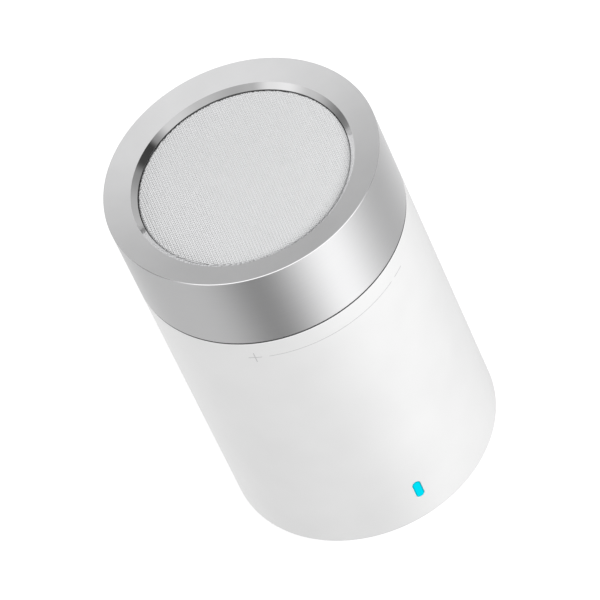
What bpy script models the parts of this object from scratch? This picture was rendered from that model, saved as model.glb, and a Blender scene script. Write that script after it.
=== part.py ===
"""Round desktop speaker: a white tube body with a turning metal volume ring on top.

Metres, +Z up. The origin is the centre of the underside, and the front (the status light) faces -Y.
"""

from math import asin, cos, pi, radians, sin

import bmesh
import bpy
from mathutils import Matrix, Vector

MM = 0.001

# Whole object
BODY_RADIUS = 30.0 * MM
TOTAL_HEIGHT = 92.5 * MM
RING_HEIGHT = 20.15 * MM
SEAM = 0.45 * MM                # open line between ring and body
GAP = 0.3 * MM                  # clearance between pieces that touch or pass each other
FACETS = 40                     # sides of the large turned pieces
MID_FACETS = 24                 # sides of the turned pieces inside
SMALL_FACETS = 12               # sides of the small ones

# Body shell
BODY_WALL = 2.2 * MM
BODY_EDGE = 0.5 * MM            # round at the foot of the shell
FOOT_LIFT = 0.6 * MM            # the shell stands this far off the table

# Volume ring
RING_WALL = 2.2 * MM
RING_EDGE = 0.15 * MM           # fine cut edge at the top
FACE_DISH = 1.15 * MM           # the top face falls this much towards the opening
RING_FLANGE = 3.0 * MM
OPENING_RADIUS = 24.3 * MM
CHAMFER_WIDTH = 1.1 * MM
CHAMFER_DEPTH = 1.1 * MM

# Ring gear, its pinion and the end stops
GEAR_MODULE = 0.7 * MM
RING_TEETH = 72
PINION_TEETH = 12
RING_GEAR_HEIGHT = 5.6 * MM
PINION_HEIGHT = 3.0 * MM
SHAFT_RADIUS = 1.5 * MM
STOP_HEIGHT = 1.6 * MM
STOP_BLOCK_HALF_ANGLE = radians(19.5)
STOP_LUG_HALF_ANGLE = radians(9.5)
GLIDE_HEIGHT = 1.4 * MM

# Inner frame and deck plate
FRAME_WALL = 1.2 * MM
SHOULDER_HEIGHT = 1.6 * MM
LEDGE_HEIGHT = 1.8 * MM
DECK_HEIGHT = 1.8 * MM
DECK_BORE_RADIUS = 20.5 * MM
FRAME_SCREW_ANGLES = (10.0, 130.0, 250.0)
DECK_SCREW_ANGLES = (30.0, 150.0, 270.0)
BOSS_RADIUS = 2.1 * MM
FRAME_BOSS_HEIGHT = 7.0 * MM
DECK_PAD_RADIUS = 2.9 * MM
DECK_PAD_HEIGHT = 3.0 * MM

# Grille
GRILLE_SKIN = 0.5 * MM
GRILLE_CROWN = 0.35 * MM
CLOTH = 0.25 * MM
CLAMP_HEIGHT = 1.45 * MM
GASKET_HEIGHT = 1.0 * MM

# Driver
CONE_RADIUS = 16.7 * MM
CONE_DEPTH = 5.3 * MM
COIL_RADIUS = 9.0 * MM
COIL_WALL = 0.6 * MM
COIL_HEIGHT = 9.2 * MM
BASKET_SHEET = 0.8 * MM
BASKET_DEPTH = 10.5 * MM
YOKE_RADIUS = 12.0 * MM
YOKE_HEIGHT = 9.5 * MM
YOKE_FLOOR = 2.2 * MM
MAGNET_HEIGHT = 4.3 * MM
SPIDER_LIFT = 2.6 * MM          # spider above the top of the yoke
SPIDER_REACH = 2.4 * MM         # spider past the side of the yoke
SPIDER_SHEET = 0.3 * MM
AIR_GAP = 0.45 * MM

# Encoder
ENCODER_SIZE = 11.0 * MM
ENCODER_HEIGHT = 5.2 * MM
BRACKET_SHEET = 1.0 * MM
BRACKET_MARGIN = 1.9 * MM       # sheet left around each bracket screw
BUSH_RADIUS = 3.0 * MM

# Chamber plate, cell and cradle
CHAMBER_PLATE = 2.2 * MM
CELL_RADIUS = 9.0 * MM
CELL_HEIGHT = 34.5 * MM
CRADLE_WALL = 1.5 * MM
CRADLE_BASE_Z = 12.6 * MM
CRADLE_FLOOR = 1.2 * MM
CELL_PAD = 0.8 * MM
CELL_CAP = 0.8 * MM             # raised contact on top of the cell
GROMMET_RADIUS = 2.4 * MM
LEAD_HOLE = (19.0 * MM, -6.0 * MM)
POST_RADIUS = 1.8 * MM
POST_PITCH_RADIUS = 15.5 * MM
POST_ANGLES = (60.0, 180.0, 300.0)

# Base
BASE_PLATE = 3.0 * MM
FOOT_RADIUS = 25.2 * MM
FOOT_HEIGHT = 1.2 * MM
BASE_SCREW_ANGLES = (0.0, 120.0, 240.0)
BASE_BOSS_HEIGHT = 8.0 * MM
BASE_BOSS_RADIUS = 2.4 * MM
BASE_RIB = 1.6 * MM

# Board and what it carries
BOARD_Z = 6.4 * MM
BOARD_SHEET = 1.2 * MM
BOARD_POST_RADIUS = 2.4 * MM
SHIELD_SIZE = (9.0 * MM, 11.0 * MM, 2.0 * MM)
AMPLIFIER_SIZE = (6.0 * MM, 6.0 * MM, 1.2 * MM)
HEADER_SIZE = (4.5 * MM, 7.0 * MM, 3.6 * MM)
LIGHT_CHIP_SIZE = (1.6 * MM, 3.2 * MM, 1.8 * MM)
CAPACITOR_RADIUS = 3.2 * MM
CAPACITOR_HEIGHT = 4.2 * MM
CHIP_PITCH_RADIUS = 20.0 * MM
HEADER_ANGLE = 20.0
LIGHT_HEIGHT = 9.6 * MM         # centre of the status light
LIGHT_WIDTH = 1.85 * MM
LIGHT_LENGTH = 5.0 * MM
LIGHT_PIPE = 0.8 * MM           # how far the light pipe reaches in past the wall
SOCKET_WIDTH = 7.6 * MM
SOCKET_HEIGHT = 2.9 * MM
SOCKET_DEPTH = 5.6 * MM
SOCKET_WALL = 0.4 * MM
SOCKET_ANGLE = 90.0
BUTTON_ANGLE = 65.0
BUTTON_RADIUS = 2.3 * MM
BUTTON_TRAVEL = 0.5 * MM
BUTTON_COLLAR = 0.8 * MM
MIC_ANGLE = 105.0
MIC_RADIUS = 1.6 * MM
MIC_DEPTH = 3.4 * MM
MIC_BOOT = 1.3 * MM
MIC_HOLE_RADIUS = 0.5 * MM

# Screws
SCREW_RADIUS = 1.0 * MM
SCREW_HEAD_RADIUS = 1.8 * MM
SCREW_HEAD = 1.0 * MM
BASE_SCREW_LENGTH = 5.0 * MM
DECK_SCREW_LENGTH = 4.9 * MM
FRAME_SCREW_LENGTH = 6.0 * MM
BRACKET_SCREW_LENGTH = 2.6 * MM
LEAD_RADIUS = 0.7 * MM

# Levels and radii that follow from the sizes above
RING_BOTTOM = TOTAL_HEIGHT - RING_HEIGHT
BODY_TOP = RING_BOTTOM - SEAM
BODY_INNER = BODY_RADIUS - BODY_WALL
RING_INNER = BODY_RADIUS - RING_WALL
RING_BORE = OPENING_RADIUS - CHAMFER_WIDTH
OPENING_Z = TOTAL_HEIGHT - FACE_DISH
FLANGE_UNDERSIDE = OPENING_Z - RING_FLANGE
GEAR_RADIUS = GEAR_MODULE * RING_TEETH / 2
PINION_RADIUS = GEAR_MODULE * PINION_TEETH / 2
PINION_REACH = GEAR_RADIUS - PINION_RADIUS
TOOTH_TIP_RADIUS = GEAR_RADIUS - GEAR_MODULE
FRAME_OUTER = TOOTH_TIP_RADIUS - GAP
FRAME_INNER = FRAME_OUTER - FRAME_WALL
FRAME_TOP = FLANGE_UNDERSIDE - GAP
DECK_TOP = BODY_TOP - 0.9 * MM
DECK_BOTTOM = DECK_TOP - DECK_HEIGHT
FRAME_BOTTOM = DECK_TOP + GAP
LOWER_GLIDE_Z = DECK_TOP + GAP
RING_GEAR_Z = LOWER_GLIDE_Z + GLIDE_HEIGHT + GAP
RING_GEAR_TOP = RING_GEAR_Z + RING_GEAR_HEIGHT
RING_GEAR_OUTER = RING_INNER - GAP
SHOULDER_Z = RING_GEAR_TOP + GAP
SHOULDER_TOP = SHOULDER_Z + SHOULDER_HEIGHT
STOP_OUTER = RING_GEAR_OUTER - 0.1 * MM
STOP_INNER = STOP_OUTER - 0.7 * MM
SHOULDER_RADIUS = STOP_INNER - GAP
GRILLE_RADIUS = min(RING_BORE, FRAME_INNER) - GAP
GRILLE_RIM_Z = OPENING_Z - CHAMFER_DEPTH - 0.1 * MM
CLOTH_TOP = GRILLE_RIM_Z - GRILLE_SKIN - GAP
CLAMP_TOP = CLOTH_TOP - CLOTH - GAP
CLAMP_OUTER = GRILLE_RADIUS - GRILLE_SKIN - GAP
GASKET_TOP = CLAMP_TOP - CLAMP_HEIGHT - GAP
LIP = 0.4 * MM                  # rubber of the surround
LIP_TOP = GASKET_TOP - GASKET_HEIGHT - GAP
DRIVER_TOP = LIP_TOP - LIP - GAP
DRIVER_RADIUS = FRAME_INNER - GAP
LEDGE_TOP = DRIVER_TOP - BASKET_SHEET - GAP
LEDGE_BORE = DRIVER_RADIUS - 2.2 * MM
CONE_TOP = DRIVER_TOP
CONE_NECK_Z = CONE_TOP - CONE_DEPTH
COIL_OUTER = COIL_RADIUS + COIL_WALL / 2
COIL_INNER = COIL_RADIUS - COIL_WALL / 2
YOKE_TOP = DRIVER_TOP - BASKET_DEPTH - GAP
YOKE_Z = YOKE_TOP - YOKE_HEIGHT
MAGNET_Z = YOKE_Z + YOKE_FLOOR + GAP
POLE_Z = MAGNET_Z + MAGNET_HEIGHT + GAP
SPIDER_Z = YOKE_TOP + GAP + SPIDER_LIFT
SPIDER_OUTER = YOKE_RADIUS + SPIDER_REACH
CELL_PAD_Z = CRADLE_BASE_Z + CRADLE_FLOOR + GAP
CELL_Z = CELL_PAD_Z + CELL_PAD + GAP
CHAMBER_PLATE_Z = CELL_Z + CELL_HEIGHT + GAP
CRADLE_TOP = CHAMBER_PLATE_Z - GAP
BASE_TOP = FOOT_LIFT + BASE_PLATE
BASE_SCREW_Z = FOOT_HEIGHT + GAP
BOARD_RADIUS = BODY_INNER - 1.2 * MM
BOARD_TOP = BOARD_Z + BOARD_SHEET
BUTTON_Z = BOARD_TOP + BUTTON_RADIUS + BUTTON_COLLAR + 2 * GAP
SOCKET_CENTRE_Z = BOARD_TOP + GAP + SOCKET_HEIGHT / 2
SCREW_PITCH_RADIUS = BODY_INNER - 2.4 * MM
BASE_SCREW_PITCH = FOOT_RADIUS - SCREW_HEAD_RADIUS - GAP
FRAME_BOSS_PITCH = FRAME_INNER - BOSS_RADIUS + 0.3 * MM
ENCODER_TOP = DECK_BOTTOM - GAP - BRACKET_SHEET - GAP
ENCODER_Z = ENCODER_TOP - ENCODER_HEIGHT
BRACKET_SCREW_X = ENCODER_SIZE / 2 + SCREW_HEAD_RADIUS + GAP
BRACKET_SCREW_OFFSET = 2.2 * MM
CUT = 1.0 * MM                  # how far a cutter runs past what it cuts

model = None
cutters = None


# ---------------------------------------------------------------- scene and materials

def clear_scene():
    """Empty the scene and make the two collections."""
    global model, cutters
    for old in list(bpy.data.objects):
        bpy.data.objects.remove(old, do_unlink=True)
    model = bpy.data.collections.new("round_speaker")
    cutters = bpy.data.collections.new("cutters")
    for collection in (model, cutters):
        bpy.context.scene.collection.children.link(collection)


def principled(name, colour, roughness, metallic=0.0, emission=0.0):
    """One Principled BSDF material."""
    material = bpy.data.materials.new(name)
    material.use_nodes = True
    shader = material.node_tree.nodes["Principled BSDF"]
    shader.inputs["Base Color"].default_value = (*colour, 1.0)
    shader.inputs["Roughness"].default_value = roughness
    shader.inputs["Metallic"].default_value = metallic
    shader.inputs["Emission Color"].default_value = (*colour, 1.0)
    shader.inputs["Emission Strength"].default_value = emission
    return material


def finish(obj, colour=(0.5, 0.5, 0.5), roughness=0.5, metallic=0.0, emission=0.0):
    """Give a piece its own material and put it in the model's collection."""
    obj.data.materials.clear()
    obj.data.materials.append(principled(obj.name, colour, roughness, metallic, emission))
    move_to(obj, model)
    return obj


def move_to(obj, collection):
    for old in list(obj.users_collection):
        old.objects.unlink(obj)
    collection.objects.link(obj)


def as_tool(obj):
    """Mark an object as a cutter or an operand, which isn't part of the model."""
    obj.hide_render = True
    obj.display_type = "WIRE"
    move_to(obj, cutters)
    return obj


# ---------------------------------------------------------------- shapes

def around(radius, degrees, z=0.0):
    """The point at a radius and an angle from +X."""
    angle = radians(degrees)
    return Vector((radius * cos(angle), radius * sin(angle), z))


def arc(centre_r, centre_z, radius, start, end, count):
    """Points of an arc in the (r, z) plane, angles in degrees."""
    points = []
    for i in range(count + 1):
        angle = radians(start + (end - start) * i / count)
        points.append((centre_r + radius * cos(angle), centre_z + radius * sin(angle)))
    return points


def link_new(name, mesh):
    obj = bpy.data.objects.new(name, mesh)
    model.objects.link(obj)
    return obj


def shade(mesh):
    mesh.shade_smooth()
    mesh.set_sharp_from_angle(angle=radians(30))


def turned(name, profile, steps=FACETS, closed=True):
    """A turned piece. The (r, z) profile runs down its outer side; open profiles end on the axis."""
    mesh = bpy.data.meshes.new(name)
    count = len(profile)
    edges = [(i, i + 1) for i in range(count - 1)]
    if closed:
        edges.append((count - 1, 0))
    mesh.from_pydata([(r, 0.0, z) for r, z in profile], edges, [])
    obj = link_new(name, mesh)
    screw = obj.modifiers.new("turn", "SCREW")
    screw.axis = "Z"
    screw.angle = 2 * pi
    screw.steps = steps
    screw.render_steps = steps
    screw.use_merge_vertices = True
    screw.merge_threshold = 0.000001
    screw.use_smooth_shade = True
    return obj


def washer(name, inner, outer, low, high, steps=FACETS):
    return turned(name, [(outer, high), (outer, low), (inner, low), (inner, high)], steps)


def disc(name, radius, low, high, steps=FACETS):
    return turned(name, [(0.0, high), (radius, high), (radius, low), (0.0, low)], steps, closed=False)


def box(name, size, centre, turn=0.0):
    """A box with its size in the mesh, turned about Z by an angle in degrees."""
    mesh = bpy.data.meshes.new(name)
    shape = bmesh.new()
    bmesh.ops.create_cube(shape, size=1.0)
    bmesh.ops.scale(shape, vec=Vector(size), verts=shape.verts)
    shape.to_mesh(mesh)
    shape.free()
    obj = link_new(name, mesh)
    obj.location = centre
    obj.rotation_euler.z = radians(turn)
    return obj


def cylinder(name, radius, low, high, at=(0.0, 0.0), steps=SMALL_FACETS):
    """An upright cylinder between two levels."""
    mesh = bpy.data.meshes.new(name)
    shape = bmesh.new()
    bmesh.ops.create_cone(
        shape, cap_ends=True, segments=steps, radius1=radius, radius2=radius, depth=high - low
    )
    shape.to_mesh(mesh)
    shape.free()
    shade(mesh)
    obj = link_new(name, mesh)
    obj.location = (at[0], at[1], (low + high) / 2)
    return obj


def radial(name, radius, inner, outer, degrees, z, steps=SMALL_FACETS):
    """A cylinder that lies along a radius of the body."""
    obj = cylinder(name, radius, inner, outer, steps=steps)
    obj.location = around((inner + outer) / 2, degrees, z)
    obj.rotation_euler = (0.0, pi / 2, radians(degrees))
    return obj


def outline(name, loops, low, high):
    """A flat outline, with holes where loops nest, raised from one level to another."""
    curve = bpy.data.curves.new(name, "CURVE")
    curve.dimensions = "2D"
    curve.fill_mode = "BOTH"
    curve.extrude = (high - low) / 2
    for loop in loops:
        spline = curve.splines.new("POLY")
        spline.points.add(len(loop) - 1)
        for point, (x, y) in zip(spline.points, loop):
            point.co = (x, y, 0.0, 1.0)
        spline.use_cyclic_u = True
    obj = link_new(name, curve)
    obj.location.z = (low + high) / 2
    return obj


def as_mesh(obj):
    """Replace a curve by its mesh, with the caps welded on."""
    bpy.context.view_layer.update()
    evaluated = obj.evaluated_get(bpy.context.evaluated_depsgraph_get())
    mesh = bpy.data.meshes.new_from_object(evaluated)
    shape = bmesh.new()
    shape.from_mesh(mesh)
    bmesh.ops.remove_doubles(shape, verts=shape.verts, dist=0.000001)
    bmesh.ops.recalc_face_normals(shape, faces=shape.faces)
    shape.to_mesh(mesh)
    shape.free()
    name = obj.name
    matrix = obj.matrix_world.copy()
    bpy.data.objects.remove(obj, do_unlink=True)
    solid = link_new(name, mesh)
    solid.matrix_world = matrix
    return solid


def combine(obj, tools, operation):
    """Cut tools from a piece, or join them to it."""
    for tool in tools:
        as_tool(tool)
        modifier = obj.modifiers.new(tool.name, "BOOLEAN")
        modifier.operation = operation
        modifier.solver = "EXACT"
        modifier.object = tool
    return obj


def cut(obj, *tools):
    return combine(obj, tools, "DIFFERENCE")


def join(obj, *tools):
    return combine(obj, tools, "UNION")


def stadium(length, width, arc_points=6):
    """Outline of a slot with round ends, its long side along Y."""
    radius = width / 2
    straight = (length - width) / 2
    points = []
    for side, start in ((1, 0), (-1, 180)):
        for i in range(arc_points + 1):
            angle = radians(start + 180 * i / arc_points)
            points.append((radius * cos(angle), side * straight + radius * sin(angle)))
    return points


def sector(inner, outer, middle, half_angle, count=5):
    """Outline of a piece of a ring; middle in degrees and half_angle in radians."""
    angles = [radians(middle) - half_angle + 2 * half_angle * i / count for i in range(count + 1)]
    outside = [(outer * cos(a), outer * sin(a)) for a in angles]
    inside = [(inner * cos(a), inner * sin(a)) for a in reversed(angles)]
    return outside + inside


def gear_outline(teeth, root, tip, clearance, turn):
    """Tooth outline between a root and a tip radius, for outer or inner teeth."""
    pitch_angle = 2 * pi / teeth
    pitch = teeth * GEAR_MODULE / 2
    half_at_pitch = pitch_angle / 4 - clearance / pitch
    half_at_root = half_at_pitch * 1.45
    half_at_tip = half_at_pitch * 0.5
    points = []
    for i in range(teeth):
        middle = turn + i * pitch_angle
        for radius, offset in (
            (root, -half_at_root), (tip, -half_at_tip), (tip, half_at_tip), (root, half_at_root)
        ):
            points.append((radius * cos(middle + offset), radius * sin(middle + offset)))
    return points


def lead(name, points, colour):
    """A thin wire bundle along a smooth route."""
    curve = bpy.data.curves.new(name, "CURVE")
    curve.dimensions = "3D"
    curve.bevel_depth = LEAD_RADIUS
    curve.bevel_resolution = 2
    curve.use_fill_caps = True
    route = smooth_route(points)
    spline = curve.splines.new("POLY")
    spline.points.add(len(route) - 1)
    for point, place in zip(spline.points, route):
        point.co = (*place, 1.0)
    return finish(link_new(name, curve), colour, 0.5)


def smooth_route(points, steps=4):
    """Catmull-Rom curve through the route's points."""
    places = [Vector(p) for p in points]
    places = [2 * places[0] - places[1], *places, 2 * places[-1] - places[-2]]
    route = []
    for a, b, c, d in zip(places, places[1:], places[2:], places[3:]):
        for i in range(steps):
            t = i / steps
            route.append(
                0.5 * (2 * b + (c - a) * t + (2 * a - 5 * b + 4 * c - d) * t ** 2
                       + (3 * b - a - 3 * c + d) * t ** 3)
            )
    route.append(places[-2])
    return route


def screw(name, place, length, up):
    """A pan-head screw, its head on the far side from where it points."""
    profile = [
        (0.0, -0.4 * SCREW_HEAD), (0.5 * SCREW_HEAD_RADIUS, 0.0), (SCREW_HEAD_RADIUS, 0.0),
        (SCREW_HEAD_RADIUS, -SCREW_HEAD), (SCREW_RADIUS, -SCREW_HEAD), (SCREW_RADIUS, -SCREW_HEAD - length),
        (0.0, -SCREW_HEAD - length),
    ]
    obj = turned(name, profile, steps=8, closed=False)
    obj.location = place
    if up:
        obj.rotation_euler.x = pi
    return finish(obj, (0.35, 0.35, 0.36), 0.35, 1.0)


# ---------------------------------------------------------------- casing

def body_shell():
    corner = arc(BODY_RADIUS - BODY_EDGE, FOOT_LIFT + BODY_EDGE, BODY_EDGE, 0, -90, 4)
    rabbet = BODY_INNER + 1.3 * MM
    profile = [
        (BODY_RADIUS, BODY_TOP), *corner, (BODY_INNER, FOOT_LIFT),
        (BODY_INNER, DECK_TOP), (rabbet, DECK_TOP), (rabbet, BODY_TOP),
    ]
    shell = turned("body_shell", profile)
    for i, degrees in enumerate(DECK_SCREW_ANGLES):
        place = around(SCREW_PITCH_RADIUS, degrees)
        high = DECK_BOTTOM - GAP
        low = high - DECK_PAD_HEIGHT
        pad = cylinder(f"deck_pad_{i}", DECK_PAD_RADIUS, low, high, place)
        hole = cylinder(f"deck_pad_hole_{i}", SCREW_RADIUS + GAP, low - 2 * CUT, high + 2 * CUT, place)
        join(shell, pad)
        cut(shell, hole)
    for i, degrees in enumerate(BASE_SCREW_ANGLES):
        place = around(BASE_SCREW_PITCH, degrees)
        low = BASE_TOP + GAP
        high = low + BASE_BOSS_HEIGHT
        boss = cylinder(f"base_boss_{i}", BASE_BOSS_RADIUS, low, high, place)
        hole = cylinder(f"base_boss_hole_{i}", SCREW_RADIUS + GAP, low - CUT, high - CUT, place)
        join(shell, boss, base_rib(f"base_rib_{i}", degrees, low, high - 0.5 * MM, BASE_RIB))
        cut(shell, hole)
    inside = BODY_INNER - CUT
    outside = BODY_RADIUS + CUT
    cut(
        shell, light_slot("light_slot", GAP), socket_slot("socket_slot"),
        radial("button_hole", BUTTON_RADIUS + GAP, inside, outside, BUTTON_ANGLE, BUTTON_Z),
        radial("mic_hole", MIC_HOLE_RADIUS, inside, outside, MIC_ANGLE, LIGHT_HEIGHT),
    )
    return finish(shell, (0.82, 0.82, 0.82), 0.45)


def base_rib(name, degrees, low, high, width):
    """Web between a base boss and the shell's wall, or the cutter that clears it."""
    inner = BASE_SCREW_PITCH + BASE_BOSS_RADIUS - 0.6 * MM
    outer = BODY_INNER + 0.5 * BODY_WALL
    centre = around((inner + outer) / 2, degrees, (low + high) / 2)
    return box(name, (outer - inner, width, high - low), centre, degrees)


def light_slot(name, margin):
    """Slot with round ends, its long side upright, through the front of the shell."""
    shape = stadium(LIGHT_LENGTH + 2 * margin, LIGHT_WIDTH + 2 * margin)
    slot = as_mesh(outline(name, [shape], -BODY_WALL - CUT, BODY_WALL + CUT))
    slot.matrix_world = Matrix.Translation((0, -BODY_RADIUS, LIGHT_HEIGHT)) @ Matrix.Rotation(pi / 2, 4, "X")
    return slot


def socket_slot(name):
    """Rounded opening for the charging plug."""
    width = SOCKET_WIDTH + 2 * GAP
    height = SOCKET_HEIGHT + 2 * GAP
    slot = as_mesh(outline(name, [stadium(width, height)], -BODY_WALL - CUT, BODY_WALL + CUT))
    slot.matrix_world = (
        Matrix.Translation(around(BODY_RADIUS, SOCKET_ANGLE, SOCKET_CENTRE_Z))
        @ Matrix.Rotation(radians(SOCKET_ANGLE - 90), 4, "Z")
        @ Matrix.Rotation(pi / 2, 4, "X") @ Matrix.Rotation(pi / 2, 4, "Z")
    )
    return slot


def light_window():
    """Clear light pipe: a bar with round ends, its face flush with the curved shell."""
    depth = BODY_WALL + LIGHT_PIPE
    window = as_mesh(outline("light_window", [stadium(LIGHT_LENGTH, LIGHT_WIDTH)], -depth, depth))
    place = Matrix.Translation((0, -BODY_RADIUS, LIGHT_HEIGHT))
    window.matrix_world = place @ Matrix.Rotation(pi / 2, 4, "X")
    low = LIGHT_HEIGHT - LIGHT_LENGTH
    high = LIGHT_HEIGHT + LIGHT_LENGTH
    cut(window, washer("light_window_face", BODY_RADIUS, BODY_RADIUS + 3 * depth, low, high))
    return finish(window, (0.0, 0.75, 0.9), 0.3, emission=2.0)


def seam_ring():
    low = DECK_TOP + GAP
    ring = washer("seam_ring", BODY_INNER + GAP, BODY_INNER + 1.0 * MM, low, RING_BOTTOM - GAP)
    return finish(ring, (0.02, 0.02, 0.02), 0.7)


def base_cover():
    rim = BODY_INNER - GAP
    profile = [
        (0.0, BASE_TOP), (rim, BASE_TOP), (rim, FOOT_LIFT), (FOOT_RADIUS + GAP, FOOT_LIFT),
        (FOOT_RADIUS + GAP, FOOT_HEIGHT + GAP), (0.0, FOOT_HEIGHT + GAP),
    ]
    cover = turned("base_cover", profile, closed=False)
    for i, degrees in enumerate(POST_ANGLES):
        place = around(POST_PITCH_RADIUS, degrees)
        join(cover, cylinder(f"board_post_{i}", BOARD_POST_RADIUS, BASE_TOP - 0.5 * MM, BOARD_Z - GAP, place))
    for i, degrees in enumerate(BASE_SCREW_ANGLES):
        place = around(BASE_SCREW_PITCH, degrees)
        seat = BASE_SCREW_Z + SCREW_HEAD + GAP
        cut(
            cover, cylinder(f"base_hole_{i}", SCREW_RADIUS + GAP, 0.0, BASE_TOP + CUT, place),
            cylinder(f"base_counterbore_{i}", SCREW_HEAD_RADIUS + GAP, 0.0, seat, place),
        )
    return finish(cover, (0.8, 0.8, 0.8), 0.5)


def foot_pad():
    edge = 0.4 * MM
    corner = arc(FOOT_RADIUS - edge, edge, edge, 0, -90, 2)
    profile = [(0.0, FOOT_HEIGHT), (FOOT_RADIUS, FOOT_HEIGHT), *corner, (0.0, 0.0)]
    return finish(turned("foot_pad", profile, closed=False), (0.55, 0.55, 0.56), 0.8)


# ---------------------------------------------------------------- volume ring

def control_ring():
    profile = [
        (BODY_RADIUS - RING_EDGE, TOTAL_HEIGHT), (BODY_RADIUS, TOTAL_HEIGHT - RING_EDGE),
        (BODY_RADIUS, RING_BOTTOM), (RING_INNER, RING_BOTTOM), (RING_INNER, FLANGE_UNDERSIDE),
        (RING_BORE, FLANGE_UNDERSIDE), (RING_BORE, OPENING_Z - CHAMFER_DEPTH), (OPENING_RADIUS, OPENING_Z),
    ]
    return finish(turned("control_ring", profile), (0.72, 0.72, 0.73), 0.3, 1.0)


def ring_gear():
    """Toothed carrier fixed inside the volume ring, with one stop lug on top."""
    root = GEAR_RADIUS + 1.25 * GEAR_MODULE
    teeth = gear_outline(RING_TEETH, root, TOOTH_TIP_RADIUS, 0.05 * MM, 0.0)
    rim = [tuple(around(RING_GEAR_OUTER, 360 * i / FACETS)[:2]) for i in range(FACETS)]
    gear = as_mesh(outline("ring_gear", [rim, teeth], RING_GEAR_Z, RING_GEAR_TOP))
    lug_shape = sector(STOP_INNER, STOP_OUTER, 270, STOP_LUG_HALF_ANGLE)
    lug = as_mesh(outline("stop_lug", [lug_shape], RING_GEAR_TOP - 0.5 * MM, RING_GEAR_TOP + STOP_HEIGHT))
    join(gear, lug)
    return finish(gear, (0.85, 0.84, 0.8), 0.4)


def glide_rings():
    inner = FRAME_OUTER + GAP
    outer = RING_INNER - GAP
    lower = washer("lower_glide_ring", inner, outer, LOWER_GLIDE_Z, LOWER_GLIDE_Z + GLIDE_HEIGHT)
    upper_z = SHOULDER_TOP + GAP
    upper = washer("upper_glide_ring", inner, outer, upper_z, upper_z + GLIDE_HEIGHT)
    for ring in (lower, upper):
        finish(ring, (0.9, 0.9, 0.88), 0.35)


def pinion():
    """Pinion and the encoder's shaft, about an upright axis at the back."""
    axis = bpy.data.objects.new("pinion_axis", None)
    axis.location = (0.0, PINION_REACH, 0.0)
    model.objects.link(axis)
    low = RING_GEAR_Z + 0.6 * MM
    root = PINION_RADIUS - 1.25 * GEAR_MODULE
    half_tooth = pi / PINION_TEETH
    tip = PINION_RADIUS + 0.8 * GEAR_MODULE
    teeth = gear_outline(PINION_TEETH, root, tip, 0.12 * MM, pi / 2 + half_tooth)
    bore = [tuple(around(SHAFT_RADIUS + GAP, 360 * i / 16)[:2]) for i in range(16)]
    gear = as_mesh(outline("pinion_gear", [teeth, bore], low, low + PINION_HEIGHT))
    gear.parent = axis
    finish(gear, (0.9, 0.88, 0.82), 0.4)
    shaft = cylinder("encoder_shaft", SHAFT_RADIUS, ENCODER_Z + 1.5 * MM, low + PINION_HEIGHT + 0.3 * MM)
    shaft.parent = axis
    finish(shaft, (0.7, 0.7, 0.7), 0.3, 1.0)


def encoder():
    centre = (0.0, PINION_REACH)
    body = box(
        "encoder_body", (ENCODER_SIZE, ENCODER_SIZE, ENCODER_HEIGHT), (*centre, (ENCODER_Z + ENCODER_TOP) / 2)
    )
    bush = cylinder("encoder_bush", BUSH_RADIUS, ENCODER_TOP - 0.5 * MM, DECK_TOP, centre)
    bore = cylinder("encoder_bore", SHAFT_RADIUS + GAP, ENCODER_Z + 1.2 * MM, DECK_TOP + CUT, centre)
    join(body, bush)
    cut(body, bore)
    finish(body, (0.1, 0.14, 0.1), 0.5)

    width = 2 * (BRACKET_SCREW_X + BRACKET_MARGIN)
    depth = ENCODER_SIZE - 2.4 * MM
    low = ENCODER_TOP + GAP
    bracket = box(
        "encoder_bracket", (width, depth, BRACKET_SHEET), (0.0, PINION_REACH, low + BRACKET_SHEET / 2)
    )
    above = low + BRACKET_SHEET + CUT
    cut(bracket, cylinder("bracket_bore", BUSH_RADIUS + GAP, low - CUT, above, centre))
    for i, side in enumerate((-1, 1)):
        place = (side * BRACKET_SCREW_X, PINION_REACH + BRACKET_SCREW_OFFSET)
        cut(bracket, cylinder(f"bracket_hole_{i}", SCREW_RADIUS + GAP, low - CUT, above, place))
        screw(f"bracket_screw_{i + 1}", (*place, low - GAP - SCREW_HEAD), BRACKET_SCREW_LENGTH, up=True)
    finish(bracket, (0.6, 0.6, 0.6), 0.35, 1.0)


# ---------------------------------------------------------------- frame and deck

def deck_holes():
    """Places and radii of the holes through the deck plate."""
    holes = [(around(SCREW_PITCH_RADIUS, d), SCREW_RADIUS + GAP) for d in DECK_SCREW_ANGLES]
    holes += [(around(FRAME_BOSS_PITCH, d), SCREW_RADIUS + GAP) for d in FRAME_SCREW_ANGLES]
    for side in (-1, 1):
        holes.append(((side * BRACKET_SCREW_X, PINION_REACH + BRACKET_SCREW_OFFSET), SCREW_RADIUS + GAP))
    holes.append(((0.0, PINION_REACH), BUSH_RADIUS + GAP))
    return holes


def deck_plate():
    plate = washer("deck_plate", DECK_BORE_RADIUS, BODY_INNER - GAP, DECK_BOTTOM, DECK_TOP)
    for i, (place, radius) in enumerate(deck_holes()):
        cut(plate, cylinder(f"deck_hole_{i}", radius, DECK_BOTTOM - CUT, DECK_TOP + CUT, place, 16))
    finish(plate, (0.05, 0.05, 0.055), 0.5)
    for i, degrees in enumerate(DECK_SCREW_ANGLES):
        head = around(SCREW_PITCH_RADIUS, degrees, DECK_BOTTOM - DECK_PAD_HEIGHT - 2 * GAP - SCREW_HEAD)
        screw(f"deck_screw_{i + 1}", head, DECK_SCREW_LENGTH, up=True)
    for i, degrees in enumerate(FRAME_SCREW_ANGLES):
        head = around(FRAME_BOSS_PITCH, degrees, DECK_BOTTOM - GAP - SCREW_HEAD)
        screw(f"frame_screw_{i + 1}", head, FRAME_SCREW_LENGTH, up=True)


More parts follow.
